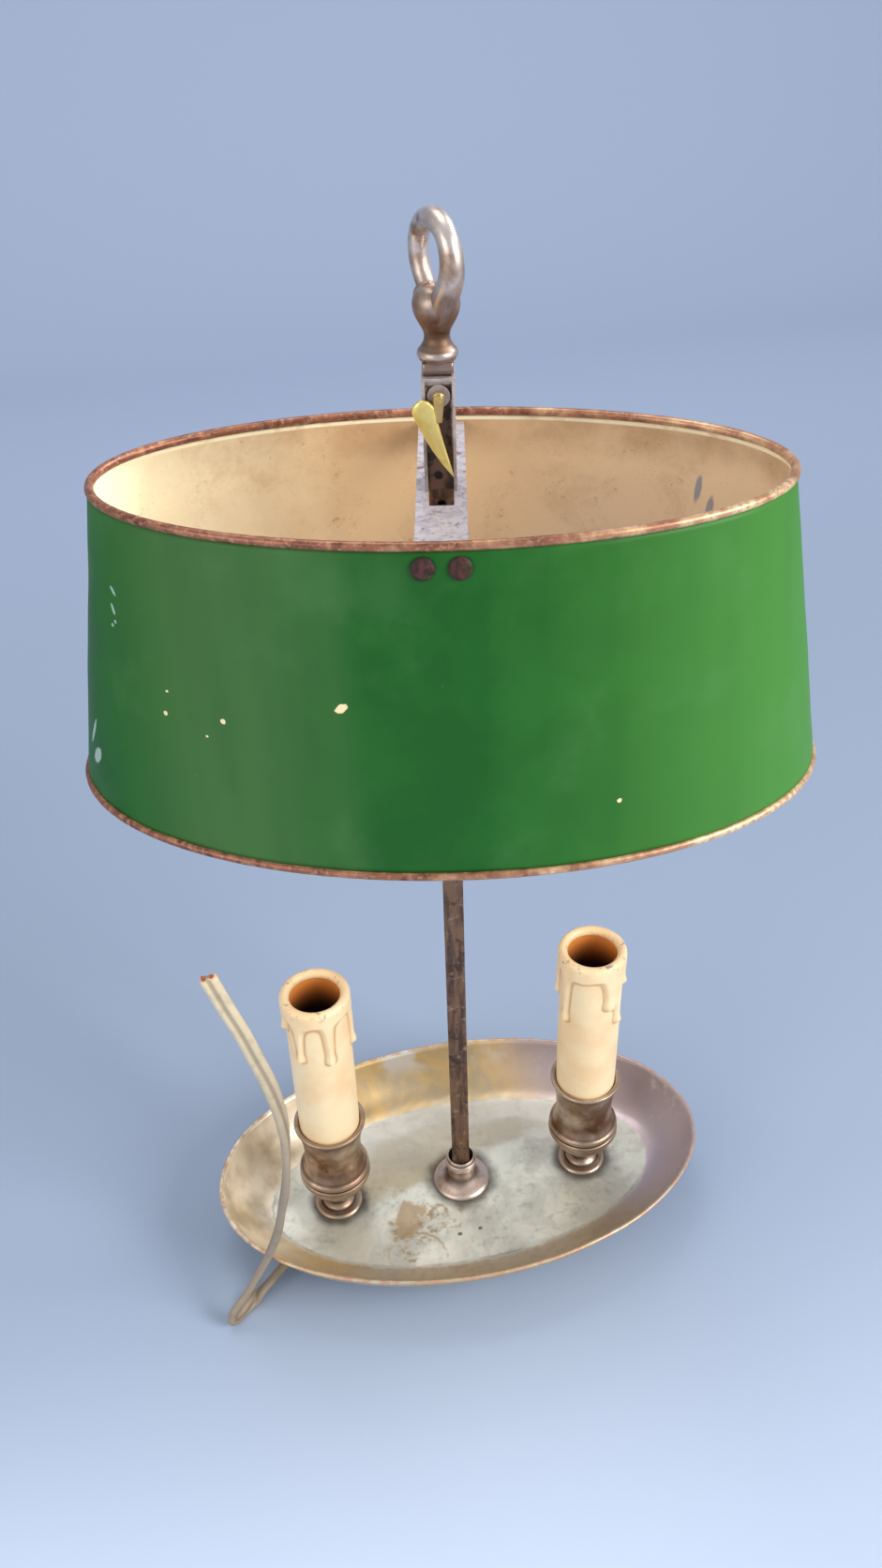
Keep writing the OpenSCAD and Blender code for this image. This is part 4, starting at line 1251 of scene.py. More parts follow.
@dataclass
class Studio:
    """Camera, lamps, floor and backdrop round the lamp.

    Args:
        eye: Place of the camera in millimetres.
        right: Direction to the right in the picture.
        up: Direction up in the picture.
        focal: Focal length as a share of the sensor's height.
        sensor: Sensor height in millimetres.
        lamps: Name, place in metres, side in metres and power in watts of each lamp.
        sweep_half: Half width of the backdrop in metres, like the four sizes after it.
        sweep_front: Where the floor starts.
        sweep_back: Where the wall stands.
        sweep_bend: Radius of the bend between floor and wall.
        sweep_high: Height of the wall.
        sky: Colour and strength of the surround.
        beam: Place, target and power of the beam into the shade.
    """

    eye: tuple = (-70.5, -387.8, 545.9)
    right: tuple = (0.98132, -0.19042, -0.02739)
    up: tuple = (0.13538, 0.58234, 0.80160)
    focal: float = 0.8373
    sensor: float = 36.0
    lamps: tuple = (
        ("key", (1.30, -1.0, 1.16), 0.95, 30),
        ("fill", (-1.3, -0.9, 0.8), 1.1, 10),
        ("top", (-0.1, 0.5, 1.7), 0.7, 7),
    )
    sweep_half: float = 2.6
    sweep_front: float = -2.4
    sweep_back: float = 1.9
    sweep_bend: float = 0.7
    sweep_high: float = 2.6
    sky: tuple = ((0.93, 0.96, 1.0, 1), 0.55)
    beam: tuple = ((0.22, 0.10, 0.62), (-0.112, 0.0, 0.345), 9.0)

    def camera(self) -> bpy.types.Object:
        """Sets the camera at the photograph's place and angle."""
        data = bpy.data.cameras.new("camera")
        data.sensor_width = self.sensor
        data.lens = self.focal * self.sensor
        data.clip_start = 0.01
        data.clip_end = 20
        made = bpy.data.objects.new("camera", data)
        bpy.context.scene.collection.objects.link(made)
        right, up = Vector(self.right).normalized(), Vector(self.up)
        up = (up - right * up.dot(right)).normalized()
        back = right.cross(up)
        turn = Matrix((right, up, back)).transposed()
        made.matrix_world = Matrix.Translation(Vector(self.eye) * MM) @ turn.to_4x4()
        bpy.context.scene.camera = made
        return made

    def backdrop(self) -> bpy.types.Object:
        """A floor that curves up into a wall behind the lamp."""
        half, back, bend = self.sweep_half, self.sweep_back, self.sweep_bend
        a = np.linspace(0, np.pi / 2, 24)
        curve = np.stack([back - bend + bend * np.sin(a), bend - bend * np.cos(a)], axis=1)
        line = np.vstack([[[self.sweep_front, 0.0]], curve, [[back, self.sweep_high]]])
        x = np.array([-half, half])
        grid = np.stack(np.broadcast_arrays(x[None, :], line[:, 0:1], line[:, 1:2]), axis=-1)
        mesh = bpy.data.meshes.new("studio_sweep")
        faces = grid_faces(len(line), 2, wrap_columns=False)
        mesh.from_pydata(grid.reshape(-1, 3).tolist(), [], faces.tolist())
        made = shown("studio_sweep", mesh)
        mesh.materials.append(Backdrop().material())
        return made

    def lamp(self, name: str, place: Sequence[float], size: float, power: float) -> None:
        """A soft square lamp that looks at the middle of the object."""
        data = bpy.data.lights.new(name, "AREA")
        data.size = size
        data.energy = power
        made = bpy.data.objects.new(name, data)
        bpy.context.scene.collection.objects.link(made)
        made.location = place
        made.rotation_mode = "QUATERNION"
        aim = Vector((0, 0, 0.2)) - Vector(place)
        made.rotation_quaternion = aim.to_track_quat("-Z", "Y")

    def glow(self, place: Sequence[float], target: Sequence[float], power: float) -> None:
        """A narrow soft beam through the shade's mouth onto the lining at the left."""
        data = bpy.data.lights.new("glow", "SPOT")
        data.energy, data.spot_size, data.spot_blend = power, math.radians(21), 1.0
        data.shadow_soft_size = 0.04
        made = bpy.data.objects.new("glow", data)
        bpy.context.scene.collection.objects.link(made)
        made.location = place
        made.rotation_mode = "QUATERNION"
        made.rotation_quaternion = (Vector(target) - Vector(place)).to_track_quat("-Z", "Y")

    def light(self) -> None:
        """A faintly blue surround, the soft lamps and the beam into the shade."""
        world = bpy.data.worlds.new("surround")
        world.use_nodes = True
        shade = world.node_tree.nodes["Background"]
        shade.inputs["Color"].default_value, shade.inputs["Strength"].default_value = self.sky
        bpy.context.scene.world = world
        for name, place, size, power in self.lamps:
            self.lamp(name, place, size, power)
        self.glow(*self.beam)

    def build(self) -> None:
        """Makes the camera, the backdrop and the lights."""
        scene = bpy.context.scene
        scene.view_settings.view_transform = "Standard"
        self.camera()
        self.backdrop()
        self.light()


@dataclass
class Cord:
    """Flat twin flex, cut bare, that comes from under the tray and leans on its rim.

    Args:
        route: Points of the centreline and the direction of the width, in millimetres.
        width: Width over both cores.
        core: Radius of one core.
        step: Steps from one point of the route to the next.
    """

    route: tuple = (
        (-38, -15, 10, 0, 1, 0), (-42, -15, 10, 0, 1, 0), (-49, -15.4, 11.2, 0.1, 1, 0),
        (-58, -16.2, 12, 0.1, 1, 0), (-65, -17.2, 12.2, 0.1, 1, 0), (-71, -18, 12.2, 0.1, 1, 0),
        (-77, -19, 12, 0.2, 1, 0), (-83, -21, 10.2, 0.3, 0.9, 0),
        (-89, -24.2, 7.4, 0.5, 0.9, 0), (-95, -28.6, 5.2, 0.6, 0.8, 0),
        (-101, -33.2, 3.6, 0.7, 0.7, 0.1),
        (-107, -38.4, 2.8, 0.7, 0.7, 0.2), (-111, -42.2, 2.8, 0.7, 0.7, 0.2),
        (-113.4, -44.4, 4.4, 0.7, 0.7, 0), (-113.2, -44.2, 7.8, 0.7, 0.7, 0),
        (-110.4, -43.2, 12.4, 0.7, 0.7, -0.1), (-106, -41.8, 18, 0.6, 0.8, -0.1),
        (-101, -40.8, 26.4, 0.5, 0.9, -0.1), (-95.6, -40.8, 37.6, 0.4, 0.9, 0),
        (-91, -42.6, 51, 0.2, 1, 0), (-87.4, -45.6, 66, 0.1, 1, 0),
        (-84.8, -48.6, 82, 0.1, 1, 0), (-82, -50.8, 98, 0, 1, 0),
        (-80, -52, 114, 0.1, 1, 0), (-79, -53, 130, 0.3, 1, 0), (-79, -54.5, 144, 0.6, 0.8, 0),
        (-80, -56, 157, 0.8, 0.6, 0), (-82, -57, 171, 0.9, 0.3, 0.1),
        (-85, -58.5, 186, 1, 0.1, 0.2), (-88, -60, 201, 1, 0, 0.2), (-92, -61, 216, 1, 0, 0.2),
        (-96, -62, 232, 1, 0, 0.3),
    )
    width: float = 6.2
    core: float = 1.6
    step: int = 7

    def section(self) -> tuple[Array, Array]:
        """The outline of two round cores side by side, and how deep in the groove it lies.

        The half thickness at s across the width is that of the nearer core's circle,
        and never less than the web that joins them.

        Returns:
            Section points, and the groove's strength at each.
        """
        centre = self.width / 2 - self.core
        a = np.linspace(-0.72 * np.pi, 0.72 * np.pi, 17)
        right = np.stack([centre + self.core * np.cos(a), self.core * np.sin(a)], axis=1)
        web = self.core * 0.42
        least = np.where(right[:, 0] < centre, web, 0)
        right[:, 1] = np.sign(right[:, 1]) * np.maximum(np.abs(right[:, 1]), least)
        section = np.vstack([right, -right])
        groove = smooth(-np.abs(section[:, 0]), -centre * 0.75, -centre * 0.2)
        return section, groove

    def build(self) -> Piece:
        """Builds the flex with its bared ends."""
        dense = curve_through(np.array(self.route, float), self.step)
        path, side = dense[:, :3], dense[:, 3:]
        section, groove = self.section()
        surface = rod_form(path, side, section)
        surface.marks["groove"] = np.tile(groove, len(path))
        flex = make_piece("twin_flex", surface, Body.BASE, [AgedFlex()], ["cord"])
        tip = self.bared(path, side)
        return flex

    def bared(self, path: Array, side: Array) -> Piece:
        """Short red ends of both cores where the flex is cut."""
        run = path[-1] - path[-4]
        run /= np.linalg.norm(run)
        across = side[-1] - (side[-1] @ run) * run
        across /= np.linalg.norm(across)
        t = np.linspace(-1.5, 1.6, 7)[:, None]
        taper = np.sqrt(np.clip(1 - np.linspace(0, 1, 7) ** 6, 0.25, 1))
        rings = ring_section(0.75, 0.75, 12)[None] * taper[:, None, None]
        ends = []
        for sign, reach in ((-1, 1.0), (1, 0.35)):
            line = path[-1] + sign * across * (self.width / 2 - self.core) + run * t * reach
            ends.append(rod_form(line, np.repeat(across[None], 7, axis=0), rings))
        return make_piece("bared_cores", reduce(Surface.joined, ends), Body.BASE, [CopperStrand()], [])


@dataclass
class Tray:
    """Dished oval tray with a beaded rim.

    Args:
        reach: How far the side spreads outwards, in millimetres.
        sheet: Thickness of the sheet.
        bead: Radius of the rim's bead.
        cove: Slope of the side at the bead, in degrees.
        around: Points round the oval.
        floor_rows: Rows of points from the middle of the floor to its edge.
        side_rows: Rows up the side.
        bead_rows: Rows round the bead.
    """

    reach: float = 22.0
    sheet: float = 1.2
    bead: float = 0.95
    cove: float = 62.0
    around: int = 240
    floor_rows: int = 34
    side_rows: int = 22
    bead_rows: int = 14

    def build(self) -> Piece:
        """Builds the dish from profiles of ovals, with shallow dents."""
        span = Span.of("tray")
        over = self.reach + self.bead * 1.9
        half_l, half_w = span.size[0] / 2 - over, span.size[1] / 2 - over
        top = span.low[2] + self.sheet
        rise = span.high[2] - top - self.bead * 0.5
        a = np.radians(np.linspace(0, self.cove, self.side_rows))
        share_out = np.sin(a) / math.sin(math.radians(self.cove))
        share_up = (1 - np.cos(a)) / (1 - math.cos(math.radians(self.cove)))
        inner = np.linspace(0, 1, self.floor_rows)
        floor_q = (inner - 1) * half_w * 0.9995
        inside = np.vstack(
            [
                np.stack([floor_q, np.full(self.floor_rows, top)], axis=1),
                np.stack([self.reach * share_out, top + rise * share_up], axis=1)[1:],
            ]
        )
        b = np.radians(np.linspace(150, -90, self.bead_rows))
        bead = np.stack(
            [self.reach + self.bead * (0.9 + np.cos(b)), top + rise + self.bead * (np.sin(b) - 0.5)], axis=1
        )
        outside = np.stack(
            [self.reach * share_out + self.sheet * np.sin(a), top + rise * share_up - self.sheet * np.cos(a)],
            axis=1,
        )[::-1][1:]
        under = np.stack([floor_q[::-1][1:], np.full(self.floor_rows - 1, top - self.sheet)], axis=1)
        profile = np.vstack([inside, bead, outside, under])
        surface = oval_form(profile, half_l, half_w, self.around)
        # The mark is 0 on the floor, climbs to 1.85 up the side and is 2 on the bead.
        climb = share_out * 1.8
        level = np.concatenate(
            [
                np.zeros(self.floor_rows), 0.05 + climb[1:], np.full(self.bead_rows, 2.0),
                climb[::-1][1:], np.zeros(self.floor_rows - 1),
            ]
        )
        surface.marks["side"] = np.repeat(level, self.around)
        dent = ripple(surface.points * (1, 1, 0.2), 34, 5) * 0.16 + ripple(surface.points, 13, 9) * 0.05
        rows = np.repeat(np.arange(len(profile)), self.around)
        weight = np.where((rows < 2) | (rows > len(profile) - 3), 0, 1)
        surface.points[:, 2] += dent * weight * smooth(level.repeat(self.around), -0.5, 1.0)
        return make_piece("tray_dish", surface, Body.BASE, [TrayPlate()], ["tray"])


@dataclass
class Feet:
    """Four button feet: a full round under a narrow neck.

    Args:
        rows: Steps between the points of the outline.
        radius: Radius of a foot at its fullest, in millimetres.
    """

    rows: int = 5
    radius: float = 6.2

    def build(self) -> Piece:
        """Turns one outline at each of the four places."""
        span = Span.of("feet")
        tall = span.size[2]
        reach_x, reach_y = span.size[0] / 2, span.size[1] / 2
        r = self.radius
        outline = curve_through(
            np.array(
                [
                    [0.01, 0], [r * 0.55, 0.0], [r * 0.72, 0.25], [r * 0.93, tall * 0.12], [r, tall * 0.27],
                    [r * 0.92, tall * 0.42], [r * 0.6, tall * 0.55], [r * 0.42, tall * 0.66],
                    [r * 0.5, tall * 0.75], [r * 0.58, tall * 0.84], [r * 0.6, tall], [0.01, tall],
                ]
            ),
            self.rows,
        )
        places = ((0, reach_y - r), (0, r - reach_y), (reach_x - r, 0), (r - reach_x, 0))
        made = reduce(Surface.joined, [turned_form(outline, 72, (x, y, span.low[2])) for x, y in places])
        finish = WornNickel(name="copper_worn_nickel", wear=0.42, dull=paint(166, 116, 86))
        return make_piece("button_feet", made, Body.BASE, [finish], ["feet"])


@dataclass
class CandleLight:
    """One candle: turned cup, drip sleeve, card tube, lampholder and its contacts.

    Args:
        side: Which candle this is.
        drips: Angle in degrees, length below the top and half width of each drip.
        lip: How far below the top the thick lip reaches, in millimetres.
        thick: Thickness of the lip and the drips over the plain skin.
        crown: Height of the rounded top.
        card_wall: Thickness of the card.
        around: Points round the sleeve.
        rows: Rows up the sleeve.
    """

    side: Side
    drips: tuple
    lip: float = 9.5
    thick: float = 1.4
    crown: float = 2.4
    card_wall: float = 0.7
    around: int = 220
    rows: int = 170

    @property
    def x(self) -> float:
        """Place of the candle's axis."""
        return float(Span.of(f"candle_cup_{self.side.word}").middle[0])

    def cup(self) -> Piece:
        """Turned cup: disc, neck, bowl, double bead, waist and rolled rim."""
        node = f"candle_cup_{self.side.word}"
        span = Span.of(node)
        foot = Span.of("tray").low[2] + Tray.sheet
        top = span.high[2] - foot
        spigot = span.low[2] - foot
        bead = 16.2
        well = 11.55
        outside = curve_through(
            np.array(
                [
                    [11.0, 0.0], [11.15, 0.5], [10.9, 1.2], [10.1, 1.75], [8.4, 2.0], [7.6, 2.3], [7.1, 3.0],
                    [6.2, 3.7], [4.8, 4.6], [4.15, 6.0], [4.0, 7.9], [4.5, 9.6], [6.0, 11.0], [9.0, 12.4],
                    [11.8, 15.0], [14.0, 18.4], [15.2, 21.4], [15.5, 22.6], [16.1, 23.3], [bead, 24.4],
                    [15.9, 25.6], [15.35, 26.2], [15.7, 26.9], [16.0, 27.9], [15.7, 29.0], [14.9, 29.9],
                    [14.1, 31.6], [13.2, 34.6], [12.9, 39.0], [13.0, 44.0], [13.5, 49.0], [14.5, 54.0],
                    [15.3, 57.0], [15.9, 58.2], [16.05, 58.9], [15.8, 59.4], [15.3, top], [14.5, top - 0.1],
                    [13.75, top - 0.9], [13.7, top - 4.0], [12.6, top - 4.05], [well, top - 4.2],
                    [well, top - 12.0], [well, 30.0],
                ]
            ),
            5,
        )
        stem = np.array([[2.2, spigot], [4.0, spigot], [4.0, -0.01], [10.6, -0.01]])
        profile = np.vstack([stem, outside, [[well, 29.0], [2.2, 29.0]]])
        surface = turned_form(profile, 128, (self.x, 0, foot))
        return make_piece(f"cup_{self.side.word}", surface, Body.BASE, [WornNickel()], [node])

    def drip_field(self, arc: Array, down: Array, radius: float) -> tuple[Array, Array]:
        """How thick the wax lies and how near its edge each point is.

        The wax is where a signed distance is negative: the distance to the lip's lower
        edge joined smoothly with the distance to each drip, a strip with a round end.
        A smooth minimum, -k log(sum of exp(-d / k)), rounds the arches between drips.

        Args:
            arc: Angle round the sleeve in radians.
            down: Distance below the top.
            radius: Radius of the plain skin.

        Returns:
            Thickness above the plain skin, and the strength of the painted shadow just outside the wax's edge.
        """
        k = 1.7
        edge = down - self.lip + 1.2 - 0.8 * np.sin(arc * 3 + 1.3) - 0.5 * np.sin(arc * 5 + 0.4)
        total = np.exp(-np.clip(edge, -20, 60) / k)
        bulb = np.zeros_like(arc)
        for angle, length, half in self.drips:
            off = (arc - math.radians(angle) + np.pi) % (2 * np.pi) - np.pi
            s = off * radius
            end = length - half
            beyond = np.maximum(down - end, 0)
            wide = half * (1.35 - 0.45 * smooth(down, 6, end) + 0.25 * smooth(down, end - 5, end)) - 0.3
            total += np.exp(-np.clip(np.hypot(s, beyond) - wide, -20, 60) / k)
            bulb = np.maximum(bulb, np.exp(-((s / half) ** 2) - ((down - end) / (half * 1.2)) ** 2))
        distance = -k * np.log(total)
        body = smooth(-distance, -0.15, 1.6)
        # Painted shadow: a thin band just outside the edge of the lip and the drips, away from the top.
        outline = np.exp(-(((distance - 0.35) / 0.5) ** 2)) * smooth(down, 3, 7)
        return self.thick * body + 0.7 * bulb * body, outline

    def sleeve(self) -> Piece:
        """Drip sleeve: a smooth skin with raised runs of wax under a lip rolled over the card."""
        node = f"drip_sleeve_{self.side.word}"
        card = Span.of(f"card_tube_{self.side.word}")
        bore = card.size[0] / 2 + 0.02
        plain = bore + 1.08
        low, top = card.low[2], Span.of(node).high[2]
        arc = np.linspace(0, 2 * np.pi, self.around, endpoint=False)
        z = np.linspace(low, top - self.crown, self.rows)
        aa, zz = np.meshgrid(arc, z)
        thick, outline = self.drip_field(aa, top - zz, plain)
        swell = 0.12 * np.sin((zz - low) / (top - low) * np.pi)
        r = plain + thick + swell + 0.05 * np.sin(aa * 2 + zz * 0.08)
        lip_r, mouth_r = r[-1:], bore - 1.7
        b = np.linspace(0, np.pi, 15)[1:, None]
        crown_r = (lip_r + mouth_r) / 2 + (lip_r - mouth_r) / 2 * np.cos(b)
        crown_z = top - self.crown * (1 - np.sin(b)) + 0 * crown_r
        inner_r = np.array([[mouth_r + 0.1], [bore - 0.7], [bore], [bore]]) + np.zeros(self.around)
        inner_z = np.array([[top - 3.1], [top - 3.9], [top - 4.4], [low]]) + 0 * inner_r
        rr = np.vstack([r, crown_r, inner_r])
        zz_all = np.vstack([zz, crown_z, inner_z])
        outline_all = np.vstack([outline, np.zeros((len(rr) - self.rows, self.around))])
        mouth = smooth(zz_all, top - 5, top - 1)
        surface = round_wall(rr, zz_all, arc, self.x)
        surface.marks = {"outline": outline_all.ravel(), "mouth": mouth.ravel()}
        name = f"wax_sleeve_{self.side.word}"
        return make_piece(name, surface, self.side.sleeve, [DripWax()], [node])

    def card(self) -> Piece:
        """Card tube inside the wax."""
        node = f"card_tube_{self.side.word}"
        span = Span.of(node)
        out, bore = span.size[0] / 2, span.size[0] / 2 - self.card_wall
        low, top = span.low[2], span.high[2]
        rows = np.linspace(low, top - 0.3, 12)
        profile = np.vstack(
            [
                np.stack([np.full(12, out), rows], axis=1),
                [[out - 0.2, top], [bore + 0.2, top]],
                np.stack([np.full(12, bore), rows[::-1]], axis=1),
            ]
        )
        surface = turned_form(profile, 96, (self.x, 0, 0), closed=True)
        name = f"card_lining_{self.side.word}"
        return make_piece(name, surface, self.side.sleeve, [Card()], [node])

    def screw_shell(self) -> Piece:
        """Rolled screw shell: r = mean + depth x sin(turns), one thread to each pitch."""
        node = f"screw_shell_{self.side.word}"
        span = Span.of(node)
        out, pitch, depth, around = span.size[0] / 2 - 0.35, 2.82, 0.32, 72
        z = np.linspace(span.low[2], span.high[2], 130)
        arc = np.linspace(0, 2 * np.pi, around, endpoint=False)
        aa, zz = np.meshgrid(arc, z)
        fade = smooth(zz, z[0], z[0] + 2) * smooth(-zz, -z[-1], -z[-1] + 2)
        wave = depth * fade * np.sin(2 * np.pi * zz / pitch - aa)
        outer, inner = out + wave, out - 0.3 + wave
        rr, hh = np.vstack([outer, inner[::-1]]), np.vstack([zz, zz[::-1]])
        surface = round_wall(rr, hh, arc, self.x)
        name = f"thread_shell_{self.side.word}"
        return make_piece(name, surface, Body.BASE, [PlainBrass()], [node])

    def build(self) -> None:
        """Builds every piece of this candle."""
        word = self.side.word
        self.cup()
        self.sleeve()
        self.card()
        self.screw_shell()
        softened(f"lampholder_{word}", f"holder_{word}", Body.BASE, Insulation(), 0.4)
        softened(f"nipple_{word}", f"wire_nipple_{word}", Body.BASE, PlainBrass(), 0.15)
        softened(f"centre_contact_{word}", f"contact_{word}", Body.BASE, PlainBrass(), 0.2)
        dress_node(f"inner_wire_{word}", Insulation())


def dress_node(node: str, finish: Finish) -> None:
    """Gives a solid of the frame a finish in place of its plain one."""
    piece = frame["nodes"][node]
    piece.data.materials.clear()
    piece.data.materials.append(finish.material())
    LOG.info("%s: kept as it is, dressed in %s", node, finish.name)


@dataclass
class Stem:
    """Square stem and its turned socket, and the fittings under the tray."""

    def socket(self) -> Piece:
        """Turned socket: domed disc, short neck and the ring round its mouth."""
        span = Span.of("stem_socket")
        low, tall = span.low[2], span.size[2]
        disc = span.size[0] / 2
        profile = curve_through(
            np.array(
                [
                    [disc - 0.4, 0.0], [disc, 0.4], [disc - 0.1, 1.2], [disc * 0.94, 2.0], [disc * 0.84, 2.7],
                    [disc * 0.7, 3.4], [7.6, 4.3], [6.6, 5.4], [6.2, 6.6], [6.15, 8.2], [6.25, tall * 0.58],
                    [6.5, tall * 0.64], [7.0, tall * 0.68], [7.25, tall * 0.74], [7.25, tall * 0.82],
                    [7.0, tall * 0.88], [6.5, tall * 0.9], [6.45, tall * 0.96], [6.1, tall],
                ]
            ),
            5,
        )
        mouth = np.array([[5.8, tall], [5.75, tall - 0.6], [5.75, 5.0], [3.1, 5.0], [3.1, 0.0]])
        surface = turned_form(np.vstack([profile, mouth]), 112, (0, 0, low), closed=True)
        finish = WornNickel(name="rubbed_nickel", wear=0.55, bright=paint(222, 204, 194))
        return make_piece("socket", surface, Body.BASE, [finish], ["stem_socket"])

    def build(self) -> None:
        """Builds the socket, the stem and the fittings that the tray hides."""
        self.socket()
        for node, name, slot, finish, edge in (
            ("stem", "square_stem", "dark_iron", RustyBar(), 0.45),
            ("stem_washer", "washer_under_stem", "zinc", MottledZinc(), 0.15),
            ("stem_nut", "nut_under_stem", "brass", PlainBrass(), 0.3),
            ("cup_washers", "washers_under_cups", "zinc", MottledZinc(), 0.15),
            ("cup_nuts", "nuts_under_cups", "brass", PlainBrass(), 0.3),
            ("terminal_block", "wire_block", "dark_plastic", Insulation(), 0.5),
            ("terminal_screws", "block_screws", "brass", PlainBrass(), 0.15),
            ("cord_clip", "flex_clip", "zinc", MottledZinc(), 0.2),
            ("clip_screws", "flex_clip_screws", "brass", PlainBrass(), 0.2),
        ):
            softened(node, name, Body.BASE, finish, edge)


@dataclass
class Finial:
    """Square ferrule, turned collar and bowl, and the ring handle over them.

    Args:
        ring_turn: Turn of the ring from the face of the stem, in degrees.
        ring_out: Outer radius of the ring in millimetres.
        ring_bore: Radius of its finger hole.
        ball: Radius of the ball that ends the far arm.
        square: Half width of the ferrule.
        square_bore: Half width of its hole.
    """

    ring_turn: float = 27.0
    ring_out: float = 14.0
    ring_bore: float = 7.4
    ball: float = 4.6
    square: float = 4.8
    square_bore: float = 4.1

    def collar(self) -> Piece:
        """The turned part: collar, neck and egg-shaped bowl."""
        top = Span.of("stem").high[2]
        profile = curve_through(
            np.array(
                [
                    [0.01, 0.0], [4.9, 0.0], [5.4, 0.3], [5.9, 1.1], [6.3, 2.1], [6.1, 3.1], [5.3, 4.1],
                    [4.5, 5.2], [4.05, 6.4], [3.9, 7.4], [4.1, 8.7], [4.8, 10.2], [5.8, 12.0], [6.7, 14.0],
                    [7.2, 16.2], [7.0, 18.2], [6.3, 19.8], [5.0, 21.2], [3.2, 22.1], [1.5, 22.5], [0.01, 22.6],
                ]
            ),
            6,
        )
        surface = turned_form(profile, 112, (0, 0, top))
        return make_piece("collar", surface, Body.BASE, [self.finish()], [])

    def finish(self) -> Finish:
        """The finial's own nickel, brighter than the cups'."""
        return WornNickel(
            name="finial_nickel", wear=0.55, bright=paint(226, 212, 204), rust=paint(112, 76, 50), tanned_z=433.0
        )

    def ring(self) -> Piece:
        """Ring handle: a thick near arm that grows out of the bowl, a thin far arm, a ball.

        The centreline is a circle in the ring's own plane, and its near foot runs on
        down inside the bowl, so the arm grows out of the bowl's side. The section is
        widest at the foot of the near arm and least above the ball.

        Returns:
            The piece.
        """
        span = Span.of("ring_handle")
        mid = (self.ring_out + self.ring_bore) / 2
        centre_z = span.high[2] - self.ring_out
        a = np.radians(np.linspace(-25, 215, 13))
        arch = np.stack([-mid * np.cos(a), centre_z + mid * np.sin(a)], axis=1)
        near_foot = np.array([[-0.8, -18.5], [-2.9, -15.0], [-5.7, -10.3]]) + [0, centre_z]
        far_foot = np.array([[7.0, -8.6], [5.2, -10.6], [3.4, -13.0]]) + [0, centre_z]
        way = np.vstack([near_foot, arch, far_foot])
        share = np.linspace(0, 1, len(way))[:, None]
        dense = curve_through(np.hstack([way, share]), 9)
        path = np.column_stack([np.zeros(len(dense)), dense[:, :2]])
        near, far = smooth(-dense[:, 2], -0.36, -0.02), smooth(dense[:, 2], 0.62, 0.92)
        band = (self.ring_out - self.ring_bore) / 2
        radial = band * (1.0 + 0.22 * near - 0.16 * far)
        flat = band * (1.0 + 0.30 * near - 0.16 * far)
        section = oval_sections(flat, radial, 40)
        side = np.repeat(np.array([[1.0, 0.0, 0.0]]), len(path), axis=0)
        made = rod_form(path, side, section)
        b = np.linspace(0, np.pi, 33)
        profile = np.stack([self.ball * np.sin(b) + 1e-3, -self.ball * np.cos(b)], axis=1)
        top = Span.of("stem").high[2]
        ball = turned_form(profile, 64, (0, self.ring_out * 0.36, top + 17.6))
        made.marks["hollow"] = np.full(len(made.points), -0.2)
        ball.marks["hollow"] = np.full(len(ball.points), -0.3)
        surface = made.joined(ball)
        surface.points = turned(surface.points, TURN + math.radians(self.ring_turn))
        return make_piece("ring", surface, Body.BASE, [self.finish()], ["ring_handle"])

    def ferrule(self) -> Piece:
        """Square ferrule over the top of the stem, a closed sleeve with soft corners."""
        span = Span.of("finial_collar")
        stem = Span.of("stem")
        half, bore = self.square, self.square_bore
        low, top = span.low[2], stem.high[2] + 0.4
        a = np.linspace(0, 2 * np.pi, 96, endpoint=False)
        power = 0.16
        around = np.stack([np.cos(a), np.sin(a)], axis=1)
        shape = np.sign(around) * np.abs(around) ** power
        outer = [(half - 0.3, low), (half, low + 0.3), (half, top - 0.3), (half - 0.3, top)]
        rows = [*outer, (bore, top), (bore, low)]
        rings = [np.column_stack([shape * r, np.full(96, z)]) for r, z in rows]
        points = turned(np.vstack(rings))
        surface = Surface(points, grid_faces(len(rows), 96, wrap_rows=True))
        surface.marks["hollow"] = np.full(len(points), 0.15)
        return make_piece("ferrule", surface, Body.BASE, [self.finish()], ["finial_collar"])

    def build(self) -> None:
        """Builds the three parts of the finial."""
        self.collar()
        self.ferrule()
        self.ring()


